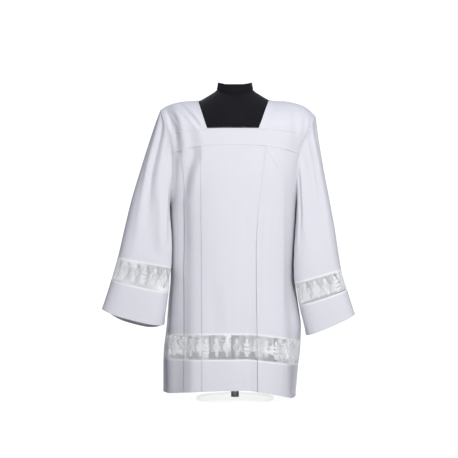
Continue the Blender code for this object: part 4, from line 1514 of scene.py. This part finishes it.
# On a sleeve a place is (degrees round from the top, row down from the armhole).
SLEEVE_SCALE = (0.0014, 0.080)
SLEEVE_CREASES = {
    LEFT: (
        Crease((30.0, 0.1), (66.0, 2.0), (98.0, 6.8), 0.0150, 0.0085),
        Crease((66.0, 0.1), (74.0, 1.6), (72.0, 3.6), 0.010, 0.0016),
        Crease((104.0, 0.2), (112.0, 2.2), (104.0, 5.0), 0.012, 0.0022),
        Crease((82.0, 3.2), (90.0, 5.2), (84.0, 8.2), 0.014, 0.0014),
        Crease((128.0, 0.6), (134.0, 2.8), (126.0, 5.4), 0.012, 0.0040),
        Crease((-36.0, 0.1), (-50.0, 2.2), (-56.0, 6.0), 0.012, 0.0050),
        Crease((-84.0, 0.1), (-92.0, 2.2), (-86.0, 5.6), 0.013, 0.0040),
        Crease((-120.0, 0.6), (-128.0, 2.8), (-118.0, 6.4), 0.012, 0.0040),
    ),
    RIGHT: (
        Crease((54.0, 0.1), (62.0, 1.8), (60.0, 5.6), 0.009, 0.0040),
        Crease((84.0, 0.1), (92.0, 2.0), (88.0, 4.6), 0.009, 0.0034),
        Crease((108.0, 0.2), (116.0, 2.0), (112.0, 5.8), 0.010, 0.0036),
        Crease((28.0, 0.1), (34.0, 1.4), (36.0, 3.2), 0.009, 0.0028),
        Crease((72.0, 4.2), (78.0, 6.0), (70.0, 8.6), 0.014, 0.0028),
        Crease((-40.0, 0.1), (-48.0, 2.4), (-44.0, 6.4), 0.012, 0.0046),
        Crease((-88.0, 0.1), (-96.0, 2.6), (-90.0, 5.2), 0.013, 0.0040),
        Crease((-124.0, 0.5), (-130.0, 2.8), (-122.0, 6.0), 0.012, 0.0036),
    ),
}


# ---- Pieces ----

BODY = "root"
UNDERARM_ROWS = 40
BAND_ROWS = 14
LACE_ROWS = 20
HEM_ROWS = 24
HEM_FOLD_ROWS = 3
FOLD_RISE = (FOLD_THICKNESS - CLOTH) / 2
BAND_STITCH_INSET = 0.0042
LACE_STITCH_INSET = 0.0022
LACE_LADDER_INSET = 0.0060
SKIRT_ROWS = 68
TUBE_ROW_COUNT = 104
SIDE_SEAM_WIDTH = 0.003
SIDE_SEAM_RISE = 0.0007
ARMHOLE_SEAM_WIDTH = 0.0036
NECK_CORNER_REACH = 0.003


class Cut(NamedTuple):
    """The flat piece that a sheet was cut as: its greatest width and length, and its area once shaped."""

    width: float
    length: float
    area: float


def wear(piece, node):
    """The piece stands for the CAD node and rides on the part's body."""
    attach(piece, BODY)
    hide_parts(node)


def cloth_piece(name, node, grid, closed, looks):
    piece = shell(f"cloth_{name}", grid, closed, looks.cloth)
    wear(piece, node)
    return piece


def lace_piece(name, node, grid, looped, looks):
    piece, strip = lace_mesh(f"lace_{name}", grid, looped, looks.lace)
    wear(piece, node)
    return piece, strip


def body_part(face, pleated, *stretches):
    return facing_out(body_grid(face, stretches, pleated), False)


def on_cloth(piece):
    """The piece is sewn onto the cloth, and stands for no CAD node of its own."""
    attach(piece, BODY)
    return piece


def sewing(name, rows, material):
    return on_cloth(stitch_mesh(name, rows, material))


def welt(name, path, material, looped=False, width=WELT_WIDTH, rise=WELT_RISE):
    if looped:
        path = Path(path.points[:-1], path.normals[:-1])
    return on_cloth(add_strip(name, path, welt_section(width, rise), material, looped))


def doubled(name, grid, material, edge_row=None, looped=False):
    """A folded edge or binding round part of a grid of cloth."""
    if edge_row is not None:
        grid = pushed_out(grid, edge_row)
    return on_cloth(shell(name, grid, looped, material, FOLD_THICKNESS))


def folded_edge(name, grid, looped, looks):
    """The turned and stitched edge at the foot of a hem border or a cuff."""
    fold_row = row_path(grid, -HEM_FOLD_ROWS, looped)
    return [
        doubled(f"fold_{name}", grid[-HEM_FOLD_ROWS - 1 :], looks.cloth, -1, looped),
        sewing(f"stitches_{name}", [(fold_row, 0.0, FOLD_RISE)], looks.thread),
    ]


def add_body(face, looks):
    name = FACE_NAMES[face]
    grid = body_part(
        face,
        True,
        ("band_bottom", "underarm", drops(UNDERARM_ROWS)),
        ("underarm", "lace_top", drops(SKIRT_ROWS, False)),
    )
    band_grid = body_part(face, False, ("band_top", "band_bottom", drops(BAND_ROWS)))
    lace_grid = body_part(face, True, ("lace_top", "lace_bottom", drops(LACE_ROWS)))
    hem_grid = body_part(face, True, ("lace_bottom", "hem", drops(HEM_ROWS)))
    body = cloth_piece(f"{name}_body", f"{name}_body", grid, False, looks)
    band = cloth_piece(f"yoke_band_{name}", f"yoke_band_{name}", band_grid, False, looks)
    lace, strip = lace_piece(f"hem_{name}", f"hem_lace_{name}", lace_grid, False, looks)
    hem = cloth_piece(f"hem_border_{name}", f"hem_border_{name}", hem_grid, False, looks)

    band_rows = [
        (row_path(band_grid, 0), -BAND_STITCH_INSET, 0.0),
        (row_path(band_grid, -1), -BAND_STITCH_INSET * towards(band_grid), 0.0),
    ]
    sewn_on_band = [
        welt(f"seam_band_top_{name}", row_path(band_grid, 0), looks.cloth),
        welt(f"seam_band_bottom_{name}", row_path(band_grid, -1), looks.cloth),
        doubled(f"binding_neck_{name}", band_grid[:2, binding_columns(band_grid)], looks.cloth, 0),
        sewing(f"stitches_band_{name}", band_rows, looks.thread),
    ]
    if face == FRONT:
        for column in (0, -1):
            path = column_path([grid[UNDERARM_ROWS:], lace_grid, hem_grid], column)
            side = SIDE_NAMES[RIGHT if path.points[0][0] > 0 else LEFT]
            seam = welt(f"seam_side_{side}", path, looks.cloth, width=SIDE_SEAM_WIDTH, rise=SIDE_SEAM_RISE)
    sewn_on_lace = sewing(f"stitches_hem_lace_{name}", lace_rows(strip), looks.thread)
    sewn_on_hem = folded_edge(f"hem_{name}", hem_grid, False, looks)


def add_shoulder(side, looks):
    name = SIDE_NAMES[side]
    grid = facing_out(shoulder_grid(side), False)
    places = grid[..., [0, 2]]
    front = pressed_in(CREASES[FRONT], places) * (grid[..., 1] < 0)
    back = pressed_in(CREASES[BACK], places) * (grid[..., 1] >= 0)
    fade = np.clip(np.abs(grid[..., 1]) / RIDGE_FADE, 0, 1) * edge_fade(grid)
    grid = grid - grid_normals(grid, False) * ((front + back) * fade)[..., None]
    shoulder = cloth_piece(f"shoulder_{name}", f"shoulder_{name}", grid, False, looks)
    neck_first = np.abs(grid[len(grid) // 2, 0, 0]) < np.abs(grid[len(grid) // 2, -1, 0])
    neck_part = grid[:, :3] if neck_first else grid[:, -3:]
    binding = doubled(f"binding_neck_{name}", neck_part, looks.cloth)


def add_sleeve(side, looks):
    name = SIDE_NAMES[side]
    grids = []
    stretches = (TUBE_ROWS, TUBE_ROW_COUNT), (SLEEVE_LACE_ROWS, LACE_ROWS), (CUFF_ROWS, HEM_ROWS)
    for (first, last), count in stretches:
        rows = np.linspace(first, last, count + 1)
        grid = sleeve_surface(side, rows)
        places = np.stack(np.broadcast_arrays(sleeve_turns()[None, :], rows[:, None]), -1)
        pressed = pressed_in(SLEEVE_CREASES[side], places, SLEEVE_SCALE)
        grid = grid - sleeve_outwards(grid) * pressed[..., None]
        grids.append(facing_out(grid, True))
    tube_grid, lace_grid, cuff_grid = grids
    tube = cloth_piece(f"sleeve_{name}", f"sleeve_{name}", tube_grid, True, looks)
    lace, strip = lace_piece(f"sleeve_{name}", f"sleeve_lace_{name}", lace_grid, True, looks)
    cuff = cloth_piece(f"cuff_{name}", f"cuff_{name}", cuff_grid, True, looks)
    armhole = row_path(tube_grid, 0, True)
    sewn_on_tube = [
        welt(f"seam_armhole_{name}", armhole, looks.cloth, looped=True, width=ARMHOLE_SEAM_WIDTH),
        sewing(f"stitches_armhole_{name}", [(row_path(tube_grid, 1, True), 0.0, 0.0)], looks.thread),
    ]
    sewn_on_lace = sewing(f"stitches_sleeve_lace_{name}", lace_rows(strip), looks.thread)
    sewn_on_cuff = folded_edge(f"cuff_{name}", cuff_grid, True, looks)


def lace_rows(strip):
    """The rows of stitches along a lace strip's two solid borders."""
    above = (LACE_THICKNESS - CLOTH) / 2
    insets = (LACE_STITCH_INSET, LACE_LADDER_INSET)
    heights = [*insets, *(strip.height - inset for inset in insets)]
    return [(strip.path(height), 0.0, above) for height in heights]


def towards(grid):
    """1 where a row's side vector points down the grid, and -1 where it points up."""
    _, sides = path_frame(row_path(grid, -1))
    return np.sign(((grid[-1] - grid[-2]) * sides).sum())


def binding_columns(band_grid):
    """The columns of a band that lie between the corners of the neck."""
    x = band_grid[0, :, 0]
    left, right = (NECK[side].at_band + NECK_CORNER_REACH for side in (LEFT, RIGHT))
    return (x > -left) & (x < right)


def dress_form():
    """The form's own solids keep their shapes and get better materials."""
    jersey, steel, glass = jersey_material(), steel_material(), glass_material()
    looks = {"form_torso": jersey, "form_collar": jersey, "form_pole": steel, "form_base": glass}
    for node, material in looks.items():
        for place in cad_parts[node].material_slots:
            place.material = material


class Looks(NamedTuple):
    cloth: bpy.types.Material
    lace: bpy.types.Material
    thread: bpy.types.Material


def main():
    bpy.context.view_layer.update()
    looks = Looks(
        cloth_material("white_cotton", CLOTH_LOW, CLOTH_HIGH, CLOTH_SEE_THROUGH),
        cloth_material("white_lace", LACE_LOW, LACE_HIGH, LACE_SEE_THROUGH),
        cloth_material("white_thread", LACE_LOW, LACE_HIGH, 0.0),
    )
    for side in (LEFT, RIGHT):
        add_shoulder(side, looks)
    for face in (FRONT, BACK):
        add_body(face, looks)
    for side in (LEFT, RIGHT):
        add_sleeve(side, looks)
    dress_form()
    add_floor()
    add_camera()
    add_light()
    add_world()
    bpy.context.scene.view_settings.view_transform = "Standard"


main()
